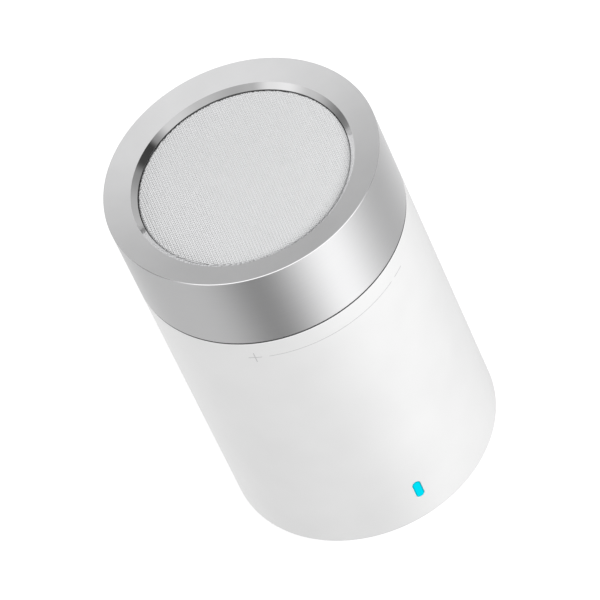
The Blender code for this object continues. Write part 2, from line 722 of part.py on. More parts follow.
def inner_frame():
    """Drum that the ring turns on: shoulder outside, ledge for the driver inside."""
    lead_in = 0.4 * MM
    profile = [
        (FRAME_OUTER - lead_in, FRAME_TOP), (FRAME_OUTER, FRAME_TOP - lead_in), (FRAME_OUTER, SHOULDER_TOP),
        (SHOULDER_RADIUS, SHOULDER_TOP), (SHOULDER_RADIUS, SHOULDER_Z), (FRAME_OUTER, SHOULDER_Z),
        (FRAME_OUTER, FRAME_BOTTOM), (FRAME_INNER, FRAME_BOTTOM), (FRAME_INNER, LEDGE_TOP - LEDGE_HEIGHT),
        (LEDGE_BORE, LEDGE_TOP - LEDGE_HEIGHT), (LEDGE_BORE, LEDGE_TOP), (FRAME_INNER, LEDGE_TOP),
        (FRAME_INNER, FRAME_TOP),
    ]
    frame = turned("inner_frame", profile)
    block_shape = sector(FRAME_OUTER - 0.5 * MM, STOP_OUTER, 90, STOP_BLOCK_HALF_ANGLE)
    join(frame, as_mesh(outline("stop_block", [block_shape], SHOULDER_Z, SHOULDER_TOP - 0.1 * MM)))
    for i, degrees in enumerate(FRAME_SCREW_ANGLES):
        place = around(FRAME_BOSS_PITCH, degrees)
        high = FRAME_BOTTOM + FRAME_BOSS_HEIGHT
        join(frame, cylinder(f"frame_boss_{i}", BOSS_RADIUS, FRAME_BOTTOM, high, place))
        hole = cylinder(f"frame_boss_hole_{i}", SCREW_RADIUS + GAP, FRAME_BOTTOM - CUT, high - CUT, place)
        cut(frame, hole)
    reach = PINION_RADIUS + GEAR_MODULE + 0.5 * MM
    low = FRAME_BOTTOM - CUT
    high = RING_GEAR_Z + PINION_HEIGHT + 1.3 * MM
    window = box(
        "pinion_window", (2 * reach, 8.0 * MM, high - low), (0.0, FRAME_OUTER, (low + high) / 2)
    )
    cut(frame, window)
    return finish(frame, (0.05, 0.05, 0.055), 0.5)


# ---------------------------------------------------------------- grille

def grille():
    """Crowned fine-mesh cap with a short skirt, and the cloth and hoop under it."""
    count = 3
    rise = [GRILLE_CROWN * (1 - (i / count) ** 2) for i in range(count + 1)]
    radii = [(GRILLE_RADIUS - 0.3 * MM) * i / count for i in range(count + 1)]
    top = [(r, GRILLE_RIM_Z + h) for r, h in zip(radii, rise)]
    under = [(r * 0.985, z - GRILLE_SKIN) for r, z in reversed(top)]
    skirt_z = CLAMP_TOP - 1.0 * MM
    inner = GRILLE_RADIUS - GRILLE_SKIN
    profile = [
        *top, (GRILLE_RADIUS, GRILLE_RIM_Z - 0.3 * MM), (GRILLE_RADIUS, skirt_z), (inner, skirt_z),
        (inner, GRILLE_RIM_Z - GRILLE_SKIN - 0.05 * MM), *under,
    ]
    finish(turned("grille", profile, closed=False), (0.75, 0.75, 0.76), 0.6)
    finish(disc("dust_cloth", CLAMP_OUTER, CLOTH_TOP - CLOTH, CLOTH_TOP, MID_FACETS), (0.6, 0.6, 0.61), 0.9)
    hoop_inner = LEDGE_BORE - 0.8 * MM
    hoop = washer("grille_hoop", hoop_inner, CLAMP_OUTER, CLAMP_TOP - CLAMP_HEIGHT, CLAMP_TOP, MID_FACETS)
    finish(hoop, (0.1, 0.1, 0.1), 0.5)


# ---------------------------------------------------------------- driver

def diaphragm():
    """Cone, dust cap and voice coil, which move together along Z."""
    sheet = 0.35 * MM
    neck = COIL_OUTER + GAP
    profile = [
        (CONE_RADIUS, CONE_TOP), (neck, CONE_NECK_Z), (neck, CONE_NECK_Z + 1.2 * sheet),
        (CONE_RADIUS - 1.2 * sheet, CONE_TOP),
    ]
    finish(turned("cone", profile, MID_FACETS), (0.08, 0.08, 0.09), 0.6)
    coil_top = CONE_NECK_Z + 0.5 * MM
    former = washer("voice_coil", COIL_INNER, COIL_OUTER, coil_top - COIL_HEIGHT, coil_top, MID_FACETS)
    finish(former, (0.6, 0.35, 0.15), 0.4)
    slope = CONE_DEPTH / (CONE_RADIUS - neck)
    rim = neck + 2.4 * MM
    rim_z = CONE_NECK_Z + (rim - neck) * slope + GAP + 0.5 * MM
    height = 2.0 * MM
    sphere = (rim ** 2 + height ** 2) / (2 * height)
    half = asin(rim / sphere)
    outside = []
    count = 4
    for i in range(count + 1):
        angle = half * i / count
        outside.append((sphere * sin(angle), rim_z + height - sphere * (1 - cos(angle))))
    inside = [(r * 0.98, z - 0.4 * MM) for r, z in reversed(outside)]
    finish(turned("dust_cap", outside + inside, MID_FACETS, closed=False), (0.1, 0.1, 0.11), 0.5)


def ripple(inner, outer, z, height, waves, count):
    """A corrugated line between two radii."""
    points = []
    for i in range(count + 1):
        t = i / count
        points.append((inner + (outer - inner) * t, z + height * sin(waves * pi * t)))
    return points


def suspension():
    """Rubber surround and cloth spider: both flex as the cone moves."""
    sheet = LIP
    roll_outer = DRIVER_RADIUS - 2.2 * MM
    roll_inner = CONE_RADIUS + 0.6 * MM
    middle = (roll_outer + roll_inner) / 2
    radius = (roll_outer - roll_inner) / 2
    z = DRIVER_TOP + GAP
    outer_roll = arc(middle, z + sheet * 0.5, radius, 180, 0, 4)
    inner_roll = arc(middle, z - sheet * 0.5, radius - 0.1 * MM, 0, 180, 4)
    lip_outer = DRIVER_RADIUS - 0.2 * MM
    lip_inner = CONE_RADIUS - 0.9 * MM
    profile = [
        (lip_inner, z + sheet), *[(r, q + sheet * 0.5) for r, q in outer_roll],
        (lip_outer, z + sheet), (lip_outer, z), *[(r, q + sheet * 0.5) for r, q in inner_roll],
        (lip_inner, z),
    ]
    finish(turned("surround", profile, MID_FACETS), (0.03, 0.03, 0.03), 0.6)
    top = ripple(COIL_OUTER + GAP, SPIDER_OUTER, SPIDER_Z + SPIDER_SHEET, 0.5 * MM, 3, 6)
    under = [(r, q - SPIDER_SHEET) for r, q in reversed(top)]
    finish(turned("spider", top + under, MID_FACETS), (0.55, 0.4, 0.15), 0.9)


def motor():
    """Yoke cup, magnet and pole plate below the basket."""
    inner = COIL_OUTER + AIR_GAP
    edge = 0.5 * MM
    profile = [
        (0.0, YOKE_Z + YOKE_FLOOR), (inner, YOKE_Z + YOKE_FLOOR), (inner, YOKE_TOP), (YOKE_RADIUS, YOKE_TOP),
        (YOKE_RADIUS, YOKE_Z + edge), (YOKE_RADIUS - edge, YOKE_Z), (0.0, YOKE_Z),
    ]
    yoke = turned("yoke_cup", profile, MID_FACETS, closed=False)
    finish(yoke, (0.45, 0.45, 0.46), 0.4, 1.0)
    pole_radius = COIL_INNER - AIR_GAP
    magnet = disc("magnet", pole_radius - 0.3 * MM, MAGNET_Z, MAGNET_Z + MAGNET_HEIGHT, MID_FACETS)
    finish(magnet, (0.55, 0.55, 0.56), 0.25, 1.0)
    finish(disc("pole_plate", pole_radius, POLE_Z, YOKE_TOP, MID_FACETS), (0.5, 0.5, 0.5), 0.35, 1.0)


def driver_basket():
    """Pressed steel basket: a flange, a windowed cone and a seat on the yoke."""
    low = YOKE_TOP + GAP
    seat_outer = SPIDER_OUTER + 0.4 * MM
    flange_inner = DRIVER_RADIUS - 2.9 * MM
    flange_low = DRIVER_TOP - BASKET_SHEET
    ledge = SPIDER_Z - GAP
    profile = [
        (DRIVER_RADIUS, DRIVER_TOP), (DRIVER_RADIUS, flange_low), (flange_inner, flange_low),
        (seat_outer, ledge), (seat_outer, low), (COIL_OUTER + AIR_GAP, low),
        (COIL_OUTER + AIR_GAP, low + 1.0 * MM), (seat_outer - 2.0 * MM, low + 1.0 * MM),
        (seat_outer - 2.0 * MM, ledge), (seat_outer - 0.4 * MM, ledge),
        (flange_inner - 0.2 * MM, DRIVER_TOP),
    ]
    basket = turned("driver_basket", profile, MID_FACETS)
    middle = (ledge + flange_low) / 2 + 0.4 * MM
    for i, degrees in enumerate((30, 150, 270)):
        centre = around(seat_outer + 2.0 * MM, degrees, middle)
        cut(basket, box(f"basket_window_{i}", (14.0 * MM, 9.0 * MM, 3.2 * MM), centre, degrees))
    finish(basket, (0.12, 0.12, 0.13), 0.45, 1.0)
    gasket_inner = DRIVER_RADIUS - 1.9 * MM
    gasket = washer("driver_gasket", gasket_inner, CLAMP_OUTER, GASKET_TOP - GASKET_HEIGHT, GASKET_TOP)
    finish(gasket, (0.04, 0.04, 0.04), 0.95)


# ---------------------------------------------------------------- cell, cradle and chamber plate

def chamber_plate():
    outer = BODY_INNER - GAP
    seat = outer - 1.6 * MM
    middle = CHAMBER_PLATE_Z + 0.5 * CHAMBER_PLATE
    top = CHAMBER_PLATE_Z + CHAMBER_PLATE
    profile = [
        (0.0, top), (seat, top), (seat, middle), (outer, middle), (outer, CHAMBER_PLATE_Z),
        (0.0, CHAMBER_PLATE_Z),
    ]
    plate = turned("chamber_plate", profile, closed=False)
    cut(plate, cylinder("lead_hole", GROMMET_RADIUS + GAP, CHAMBER_PLATE_Z - CUT, top + CUT, LEAD_HOLE))
    finish(plate, (0.07, 0.07, 0.075), 0.5)
    seal = washer("chamber_seal", seat + GAP, outer, middle + GAP, middle + GAP + 1.6 * MM)
    finish(seal, (0.03, 0.03, 0.03), 0.9)
    bore = GROMMET_RADIUS - 0.8 * MM
    grommet = washer("lead_grommet", bore, GROMMET_RADIUS, CHAMBER_PLATE_Z - 0.4 * MM, top + 0.6 * MM, 16)
    grommet.location = (*LEAD_HOLE, 0.0)
    finish(grommet, (0.03, 0.03, 0.03), 0.8)


def cell_cradle():
    """Open tube that holds the cell on three legs."""
    inner = CELL_RADIUS + GAP
    outer = inner + CRADLE_WALL
    floor = CRADLE_BASE_Z
    leg_low = BOARD_TOP + GAP
    profile = [
        (0.0, floor + CRADLE_FLOOR), (inner, floor + CRADLE_FLOOR), (inner, CRADLE_TOP), (outer, CRADLE_TOP),
        (outer, floor), (0.0, floor),
    ]
    cradle = turned("cell_cradle", profile, MID_FACETS, closed=False)
    for i, degrees in enumerate(POST_ANGLES):
        place = around(POST_PITCH_RADIUS, degrees)
        start = inner + 0.4 * MM
        size = (POST_PITCH_RADIUS - start, 2.0 * MM, CRADLE_TOP - floor - 4 * MM)
        middle = around((POST_PITCH_RADIUS + start) / 2, degrees, (CRADLE_TOP + floor) / 2)
        arm = box(f"cradle_arm_{i}", size, middle, degrees)
        join(cradle, cylinder(f"cradle_leg_{i}", POST_RADIUS, leg_low, CRADLE_TOP, place), arm)
    slot_height = CELL_HEIGHT * 0.7
    slot_size = (2 * outer, 1.2 * CELL_RADIUS, slot_height)
    cut(cradle, box("cradle_slot", slot_size, (0.0, -outer, floor + 5 * MM + slot_height / 2), 90))
    finish(cradle, (0.12, 0.12, 0.125), 0.5)

    pad = disc("cell_pad", CELL_RADIUS - 0.5 * MM, CELL_PAD_Z, CELL_PAD_Z + CELL_PAD, MID_FACETS)
    finish(pad, (0.05, 0.05, 0.05), 0.95)
    cell_top = CELL_Z + CELL_HEIGHT
    shoulder = cell_top - CELL_CAP
    edge = 0.8 * MM
    profile = [
        (0.0, cell_top), (2.6 * MM, cell_top), (2.8 * MM, shoulder), (CELL_RADIUS - edge, shoulder),
        (CELL_RADIUS, shoulder - edge), (CELL_RADIUS, CELL_Z), (0.0, CELL_Z),
    ]
    finish(turned("battery_cell", profile, MID_FACETS, closed=False), (0.1, 0.35, 0.6), 0.4)


# ---------------------------------------------------------------- board

def main_board():
    board = disc("main_board", BOARD_RADIUS, BOARD_Z, BOARD_TOP, MID_FACETS)
    for i, degrees in enumerate(BASE_SCREW_ANGLES):
        place = around(BASE_SCREW_PITCH, degrees)
        low = BOARD_Z - CUT
        high = BOARD_TOP + CUT
        notch = cylinder(f"board_notch_{i}", BASE_BOSS_RADIUS + GAP, low, high, place)
        cut(board, notch, base_rib(f"board_slot_{i}", degrees, low, high, BASE_RIB + 2 * GAP))
    finish(board, (0.03, 0.2, 0.1), 0.4)

    def chip(name, size, degrees, radius, colour, roughness=0.4, metallic=0.0):
        place = around(radius, degrees, BOARD_TOP + GAP + size[2] / 2)
        return finish(box(name, size, place, degrees), colour, roughness, metallic)

    light_reach = BODY_INNER - LIGHT_PIPE - GAP - LIGHT_CHIP_SIZE[0] / 2
    chip("radio_shield", SHIELD_SIZE, 210, CHIP_PITCH_RADIUS - 0.5 * MM, (0.7, 0.7, 0.7), 0.3, 1.0)
    chip("amplifier_chip", AMPLIFIER_SIZE, 330, CHIP_PITCH_RADIUS, (0.03, 0.03, 0.03))
    chip("lead_header", HEADER_SIZE, HEADER_ANGLE, CHIP_PITCH_RADIUS, (0.85, 0.83, 0.75))
    chip("light_chip", LIGHT_CHIP_SIZE, 270, light_reach, (0.9, 0.9, 0.8))
    low = BOARD_TOP + GAP
    tall = cylinder("capacitor", CAPACITOR_RADIUS, low, low + CAPACITOR_HEIGHT, around(21 * MM, 160))
    finish(tall, (0.65, 0.65, 0.66), 0.3, 1.0)


def charging_socket():
    """Metal shell of the charging socket with its tongue inside, opening at the back."""
    outer = BODY_INNER - GAP
    centre = around(outer - SOCKET_DEPTH / 2, SOCKET_ANGLE, SOCKET_CENTRE_Z)
    half = SOCKET_DEPTH / 2
    turn = (
        Matrix.Translation(centre) @ Matrix.Rotation(radians(SOCKET_ANGLE - 90), 4, "Z")
        @ Matrix.Rotation(pi / 2, 4, "X") @ Matrix.Rotation(pi / 2, 4, "Z")
    )
    shell = as_mesh(outline("charging_socket", [stadium(SOCKET_WIDTH, SOCKET_HEIGHT)], -half, half))
    shell.matrix_world = turn
    hollow_shape = stadium(SOCKET_WIDTH - 2 * SOCKET_WALL, SOCKET_HEIGHT - 2 * SOCKET_WALL)
    hollow = as_mesh(outline("socket_hollow", [hollow_shape], -half, half))
    hollow.matrix_world = turn @ Matrix.Translation((0, 0, -0.8 * MM))
    tongue = box("socket_tongue", (0.7 * MM, SOCKET_WIDTH * 0.62, SOCKET_DEPTH * 0.8), (0, 0, 0))
    tongue.matrix_world = turn @ Matrix.Translation((0, 0, 0.1 * SOCKET_DEPTH))
    cut(shell, hollow)
    join(shell, tongue)
    return finish(shell, (0.7, 0.7, 0.71), 0.3, 1.0)


def function_button():
    """Push button at the back; it slides along its own radius."""
    face = BODY_RADIUS + 0.2 * MM
    edge = 0.3 * MM
    collar = BODY_INNER - 2 * GAP
    back = collar - 0.9 * MM
    profile = [
        (0.0, face), (BUTTON_RADIUS - edge, face), (BUTTON_RADIUS, face - edge), (BUTTON_RADIUS, collar),
        (BUTTON_RADIUS + BUTTON_COLLAR, collar), (BUTTON_RADIUS + BUTTON_COLLAR, back), (0.0, back),
    ]
    button = turned("function_button", profile, SMALL_FACETS, closed=False)
    button.location.z = BUTTON_Z
    button.rotation_euler = (0.0, pi / 2, radians(BUTTON_ANGLE))
    finish(button, (0.8, 0.8, 0.8), 0.45)
    switch_face = back - BUTTON_TRAVEL - GAP
    depth = 3.4 * MM
    height = 2 * (BUTTON_Z - BOARD_TOP - GAP) * 0.7
    switch = box(
        "button_switch", (depth, 5.0 * MM, height),
        around(switch_face - depth / 2, BUTTON_ANGLE, BOARD_TOP + GAP + height / 2), BUTTON_ANGLE,
    )
    finish(switch, (0.05, 0.05, 0.05), 0.4)


def microphone():
    """Capsule on the board, in a rubber boot that seals it to the pinhole."""
    outer = BODY_INNER - GAP
    seat = outer - MIC_BOOT
    back = seat - GAP
    place = (MIC_ANGLE, LIGHT_HEIGHT)
    capsule = radial("microphone", MIC_RADIUS, back - MIC_DEPTH, back, *place, steps=16)
    finish(capsule, (0.7, 0.7, 0.7), 0.3, 1.0)
    boot = radial("microphone_boot", MIC_RADIUS, seat, outer, *place, steps=16)
    hole = radial("boot_hole", MIC_HOLE_RADIUS + 0.2 * MM, seat - CUT, outer + CUT, *place)
    cut(boot, hole)
    finish(boot, (0.03, 0.03, 0.03), 0.9)


def base_screws():
    for i, degrees in enumerate(BASE_SCREW_ANGLES):
        head = around(BASE_SCREW_PITCH, degrees, BASE_SCREW_Z)
        screw(f"base_screw_{i + 1}", head, BASE_SCREW_LENGTH, up=True)


def leads():
    """Wires inside: driver and encoder through the grommet, cell to the board."""
    hole_x, hole_y = LEAD_HOLE
    header = around(CHIP_PITCH_RADIUS, HEADER_ANGLE)
    top = BOARD_TOP + HEADER_SIZE[2] + 3 * GAP + LEAD_RADIUS
    lead("driver_lead", [
        (12.5 * MM, -4.0 * MM, YOKE_Z - 2.2 * MM), (15.0 * MM, -5.0 * MM, YOKE_Z - 5.0 * MM),
        (hole_x, hole_y, CHAMBER_PLATE_Z + 6.0 * MM), (hole_x, hole_y, CHAMBER_PLATE_Z - 3.0 * MM),
        (hole_x + 1.5 * MM, hole_y + 1.0 * MM, 34.0 * MM),
        (header.x + 1.5 * MM, header.y - 5.0 * MM, 22.0 * MM),
        (header.x, header.y - 1.6 * MM, top + 1.0 * MM),
    ], (0.6, 0.05, 0.05))
    lead("cell_lead", [
        (11.5 * MM, -5.0 * MM, CELL_Z + 0.9 * CELL_HEIGHT),
        (13.0 * MM, -6.0 * MM, CELL_Z + 0.6 * CELL_HEIGHT),
        (14.5 * MM, -5.5 * MM, CELL_Z + 0.27 * CELL_HEIGHT), (15.5 * MM, -3.5 * MM, CELL_Z),
        (16.2 * MM, 0.8 * MM, BOARD_TOP + 2.0 * MM),
    ], (0.05, 0.05, 0.05))
    lead("encoder_lead", [
        (3.0 * MM, PINION_REACH - 2.0 * MM, ENCODER_Z - GAP - LEAD_RADIUS),
        (8.0 * MM, 15.0 * MM, ENCODER_Z - 4 * MM),
        (14.0 * MM, 6.0 * MM, 59.0 * MM), (18.0 * MM, -1.0 * MM, 56.5 * MM),
    ], (0.8, 0.8, 0.75))


def main():
    clear_scene()
    body_shell()
    light_window()
    seam_ring()
    base_cover()
    foot_pad()
    base_screws()
    control_ring()
    ring_gear()
    glide_rings()
    pinion()
    encoder()
    deck_plate()
    inner_frame()
    grille()
    diaphragm()
    suspension()
    motor()
    driver_basket()
    chamber_plate()
    cell_cradle()
    main_board()
    charging_socket()
    function_button()
    microphone()
    leads()
    bpy.context.view_layer.update()


main()
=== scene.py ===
"""Looks of the round desktop speaker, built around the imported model.

Metres, +Z up, the same frame as the model. The front (the status light) faces -Y.
"""

from math import atan2, cos, degrees, exp, hypot, pi, radians, sin, sqrt

import bmesh
import bpy
from mathutils import Matrix, Vector


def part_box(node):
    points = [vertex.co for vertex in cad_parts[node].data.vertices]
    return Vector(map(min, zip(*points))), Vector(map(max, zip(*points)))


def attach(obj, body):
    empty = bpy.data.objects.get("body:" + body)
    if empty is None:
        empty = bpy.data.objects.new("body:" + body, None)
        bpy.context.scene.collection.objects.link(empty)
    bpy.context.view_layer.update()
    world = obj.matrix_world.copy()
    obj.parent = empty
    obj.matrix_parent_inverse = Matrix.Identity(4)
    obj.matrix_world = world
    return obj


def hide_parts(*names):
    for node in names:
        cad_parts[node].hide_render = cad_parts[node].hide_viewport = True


MM = 0.001

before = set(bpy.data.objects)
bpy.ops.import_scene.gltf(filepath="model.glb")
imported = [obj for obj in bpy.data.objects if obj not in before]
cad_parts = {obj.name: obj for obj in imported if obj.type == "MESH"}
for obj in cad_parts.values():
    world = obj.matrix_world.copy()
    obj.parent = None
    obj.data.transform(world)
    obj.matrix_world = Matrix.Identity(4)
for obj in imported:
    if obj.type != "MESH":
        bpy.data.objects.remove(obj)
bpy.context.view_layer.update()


def node_box(name):
    low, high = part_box(name)
    return tuple(low), tuple(high)


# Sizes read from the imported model
SHELL_LOW, SHELL_HIGH = node_box("body_shell")
RING_LOW, RING_HIGH = node_box("control_ring")
GRILLE_LOW, GRILLE_HIGH = node_box("grille")
LENS_LOW, LENS_HIGH = node_box("light_window")
SOCKET_LOW, SOCKET_HIGH = node_box("charging_socket")
GASKET_LOW, GASKET_HIGH = node_box("seam_ring")
COVER_HIGH = node_box("base_cover")[1]
FOOT_HIGH = node_box("foot_pad")[1]
BUTTON_LOW, BUTTON_HIGH = node_box("function_button")

BODY_RADIUS = SHELL_HIGH[0]
BODY_TOP = SHELL_HIGH[2]
BODY_BOTTOM = SHELL_LOW[2]
RING_BOTTOM = RING_LOW[2]
RING_TOP = RING_HIGH[2]
COVER_RADIUS = COVER_HIGH[0]
FOOT_RADIUS = FOOT_HIGH[0]
GRILLE_RADIUS = GRILLE_HIGH[0]
GRILLE_CROWN = 0.35 * MM
GRILLE_RIM = GRILLE_HIGH[2] - GRILLE_CROWN
LIGHT_Z = (LENS_LOW[2] + LENS_HIGH[2]) / 2
SOCKET_Z = (SOCKET_LOW[2] + SOCKET_HIGH[2]) / 2
BUTTON_Z = (BUTTON_LOW[2] + BUTTON_HIGH[2]) / 2

WALL = 2.2 * MM
BODY_EDGE = 0.5 * MM
FACE_DISH = 1.15 * MM           # the ring's top face falls this much towards the opening
OPENING_Z = RING_TOP - FACE_DISH
OPENING_RADIUS = 24.3 * MM
CHAMFER_WIDTH = 1.1 * MM
CHAMFER_DEPTH = 1.1 * MM
RIM_RADIUS = OPENING_RADIUS - CHAMFER_WIDTH - 0.14 * MM
FLANGE = 3.0 * MM
TURNS = 288                     # sides of the large turned pieces

LENS_LENGTH = 5.0 * MM
LENS_WIDTH = 1.85 * MM

LIGHT_ANGLE = -90.0
SOCKET_ANGLE = 90.0
BUTTON_ANGLE = 65.0
MIC_ANGLE = 105.0


# ---------------------------------------------------------------- camera

CAMERA_REACH = 898.76 * MM      # distance from the axis
CAMERA_HEIGHT = 1056.04 * MM
CAMERA_AZIMUTH = radians(-99.58)
CAMERA_PITCH = 0.84283
CAMERA_YAW = -0.0005
CAMERA_ROLL = -0.44482
CAMERA_LENS = 380.74
HALF_PIXEL = 0.5 / 600          # as a share of the frame's width


def make_camera():
    data = bpy.data.cameras.new("camera")
    data.lens = CAMERA_LENS
    data.sensor_width = 36.0
    data.shift_x = -HALF_PIXEL
    data.shift_y = HALF_PIXEL
    camera = bpy.data.objects.new("camera", data)
    bpy.context.scene.collection.objects.link(camera)
    level = cos(CAMERA_PITCH)
    forward = Vector((sin(CAMERA_YAW) * level, cos(CAMERA_YAW) * level, -sin(CAMERA_PITCH)))
    side = forward.cross(Vector((0, 0, 1))).normalized()
    up = side.cross(forward)
    right = cos(CAMERA_ROLL) * side + sin(CAMERA_ROLL) * up
    top = -sin(CAMERA_ROLL) * side + cos(CAMERA_ROLL) * up
    turn = Matrix((right, top, -forward)).transposed().to_4x4()
    place = Matrix.Translation((0.0, -CAMERA_REACH, CAMERA_HEIGHT)) @ turn
    camera.matrix_world = Matrix.Rotation(CAMERA_AZIMUTH + pi / 2, 4, "Z") @ place
    bpy.context.scene.camera = camera


# ---------------------------------------------------------------- node helpers

class Nodes:
    """Short way to add and join a material's nodes."""

    def __init__(self, tree):
        self.tree = tree

    def add(self, kind, values=None, **settings):
        node = self.tree.nodes.new(kind)
        for key, value in settings.items():
            setattr(node, key, value)
        for key, value in (values or {}).items():
            if isinstance(value, bpy.types.NodeSocket):
                self.tree.links.new(value, node.inputs[key])
            else:
                node.inputs[key].default_value = value
        return node

    def place(self, scale=(1.0, 1.0, 1.0)):
        """Object coordinates in metres, scaled."""
        source = self.add("ShaderNodeTexCoord")
        return self.add("ShaderNodeMapping", {"Vector": source.outputs["Object"], "Scale": scale}).outputs[0]

    def noise(self, scale, detail=3.0, roughness=0.55, stretch=(1.0, 1.0, 1.0)):
        return self.add(
            "ShaderNodeTexNoise",
            {"Vector": self.place(stretch), "Scale": scale, "Detail": detail, "Roughness": roughness},
        ).outputs["Fac"]

    def span(self, value, low, high, start=0.3, end=0.7):
        """A value between start and end, remapped to low and high."""
        return self.add(
            "ShaderNodeMapRange",
            {"Value": value, "From Min": start, "From Max": end, "To Min": low, "To Max": high},
        ).outputs[0]

    def math(self, operation, a, b=0.0):
        node = self.add("ShaderNodeMath", operation=operation)
        for i, value in enumerate((a, b)):
            if isinstance(value, bpy.types.NodeSocket):
                self.tree.links.new(value, node.inputs[i])
            else:
                node.inputs[i].default_value = value
        return node.outputs[0]

    def blend(self, factor, a, b):
        node = self.add("ShaderNodeMix", data_type="RGBA")
        self.tree.links.new(factor, node.inputs["Factor"])
        for slot, colour in ((6, a), (7, b)):
            if isinstance(colour, bpy.types.NodeSocket):
                self.tree.links.new(colour, node.inputs[slot])
            else:
                node.inputs[slot].default_value = (*colour, 1.0)
        return node.outputs[2]

    def bump(self, height, distance, strength=1.0):
        return self.add(
            "ShaderNodeBump", {"Height": height, "Distance": distance, "Strength": strength}
        ).outputs[0]


def new_material(name):
    """A material with one Principled shader; returns the material, its helper and the shader."""
    material = bpy.data.materials.new(name)
    material.use_nodes = True
    shader = material.node_tree.nodes["Principled BSDF"]
    return material, Nodes(material.node_tree), shader


def feed(nodes, shader, **inputs):
    """Set or link the shader's sockets."""
    names = {
        "colour": "Base Color", "roughness": "Roughness", "metallic": "Metallic", "normal": "Normal",
        "specular": "Specular IOR Level", "coat": "Coat Weight", "coat_roughness": "Coat Roughness",
        "anisotropic": "Anisotropic", "tangent": "Tangent", "sheen": "Sheen Weight",
        "emission": "Emission Color", "glow": "Emission Strength",
    }
    for key, value in inputs.items():
        socket = shader.inputs[names[key]]
        if isinstance(value, bpy.types.NodeSocket):
            nodes.tree.links.new(value, socket)
        elif isinstance(value, tuple):
            socket.default_value = (*value, 1.0)
        else:
            socket.default_value = value


# ---------------------------------------------------------------- materials

def moulded_plastic(name, colour, roughness=0.42, grain=9000.0, depth=0.004 * MM, drift=0.02, coat=0.0):
    """Injection-moulded plastic: faint mould texture, slow drift of tone and gloss."""
    material, n, shader = new_material(name)
    cloud = n.noise(60.0, detail=2.0)
    fine = n.noise(grain, detail=2.0)
    darker = tuple(c * (1 - drift) for c in colour)
    lighter = tuple(min(1.0, c * (1 + drift)) for c in colour)
    feed(
        n, shader, colour=n.blend(n.span(cloud, 0.0, 1.0), darker, lighter),
        roughness=n.span(n.noise(900.0), roughness - 0.03, roughness + 0.03),
        normal=n.bump(fine, depth), coat=coat, coat_roughness=0.3,
    )
    return material


def brushed_wall(name, colour):
    """Turned and brushed aluminium: grooves run round the axis."""
    material, n, shader = new_material(name)
    streak = n.noise(1.0, detail=4.0, roughness=0.7, stretch=(90.0, 90.0, 26000.0))
    broad = n.noise(1.0, detail=2.0, stretch=(40.0, 40.0, 2200.0))
    tone = n.math("ADD", n.math("MULTIPLY", streak, 0.65), n.math("MULTIPLY", broad, 0.35))
    darker = tuple(c * 0.982 for c in colour)
    lighter = tuple(c * 1.018 for c in colour)
    tangent = n.add("ShaderNodeTangent", direction_type="RADIAL", axis="Z").outputs[0]
    feed(
        n, shader, colour=n.blend(n.span(tone, 0.0, 1.0), darker, lighter), metallic=1.0,
        roughness=n.span(streak, 0.28, 0.32), anisotropic=0.85, tangent=tangent,
        normal=n.bump(streak, 0.0015 * MM),
    )
    return material


def blasted_face(name, colour):
    """Bead-blasted and anodised aluminium."""
    material, n, shader = new_material(name)
    grain = n.noise(14000.0, detail=2.0)
    cloud = n.noise(120.0, detail=2.0)
    darker = tuple(c * 0.98 for c in colour)
    lighter = tuple(c * 1.02 for c in colour)
    feed(
        n, shader, colour=n.blend(n.span(cloud, 0.0, 1.0), darker, lighter), metallic=1.0,
        roughness=n.span(grain, 0.29, 0.33), normal=n.bump(grain, 0.003 * MM),
    )
    return material


def cut_metal(name, colour, roughness=0.12):
    """Diamond-cut metal: mirror-like, with faint turning lines."""
    material, n, shader = new_material(name)
    lines = n.noise(1.0, detail=2.0, stretch=(60.0, 60.0, 20000.0))
    cloud = n.noise(200.0, detail=2.0)
    darker = tuple(c * 0.985 for c in colour)
    feed(
        n, shader, colour=n.blend(n.span(cloud, 0.0, 1.0), darker, colour), metallic=1.0,
        roughness=n.span(lines, roughness - 0.02, roughness + 0.03),
    )
    return material


def plain_metal(name, colour, roughness=0.3, grain=3000.0, spots=0.03):
    """Drawn, plated or cast metal with slight staining."""
    material, n, shader = new_material(name)
    cloud = n.noise(180.0, detail=4.0)
    fine = n.noise(grain, detail=3.0)
    darker = tuple(c * (1 - 2 * spots) for c in colour)
    lighter = tuple(min(1.0, c * (1 + spots)) for c in colour)
    feed(
        n, shader, colour=n.blend(n.span(cloud, 0.0, 1.0), darker, lighter), metallic=1.0,
        roughness=n.span(fine, roughness - 0.05, roughness + 0.07), normal=n.bump(fine, 0.004 * MM),
    )
    return material


def rubber(name, colour, roughness=0.75):
    """Moulded silicone rubber: dull, with a fine matt skin."""
    material, n, shader = new_material(name)
    fine = n.noise(6000.0, detail=3.0)
    cloud = n.noise(90.0, detail=2.0)
    lighter = tuple(min(1.0, c * 1.12 + 0.004) for c in colour)
    feed(
        n, shader, colour=n.blend(n.span(cloud, 0.0, 1.0), colour, lighter),
        roughness=n.span(fine, roughness - 0.06, roughness + 0.06),
        normal=n.bump(fine, 0.01 * MM), sheen=0.15,
    )
    return material


def foam(name, colour):
    """Open-cell foam: pits of about a third of a millimetre."""
    material, n, shader = new_material(name)
    cells = n.add(
        "ShaderNodeTexVoronoi", {"Vector": n.place(), "Scale": 3200.0}, feature="SMOOTH_F1"
    ).outputs["Distance"]
    lighter = tuple(c * 1.8 for c in colour)
    feed(
        n, shader, colour=n.blend(n.span(cells, 0.0, 1.0, 0.1, 0.6), lighter, colour),
        roughness=0.95, normal=n.bump(cells, 0.08 * MM),
    )
    return material


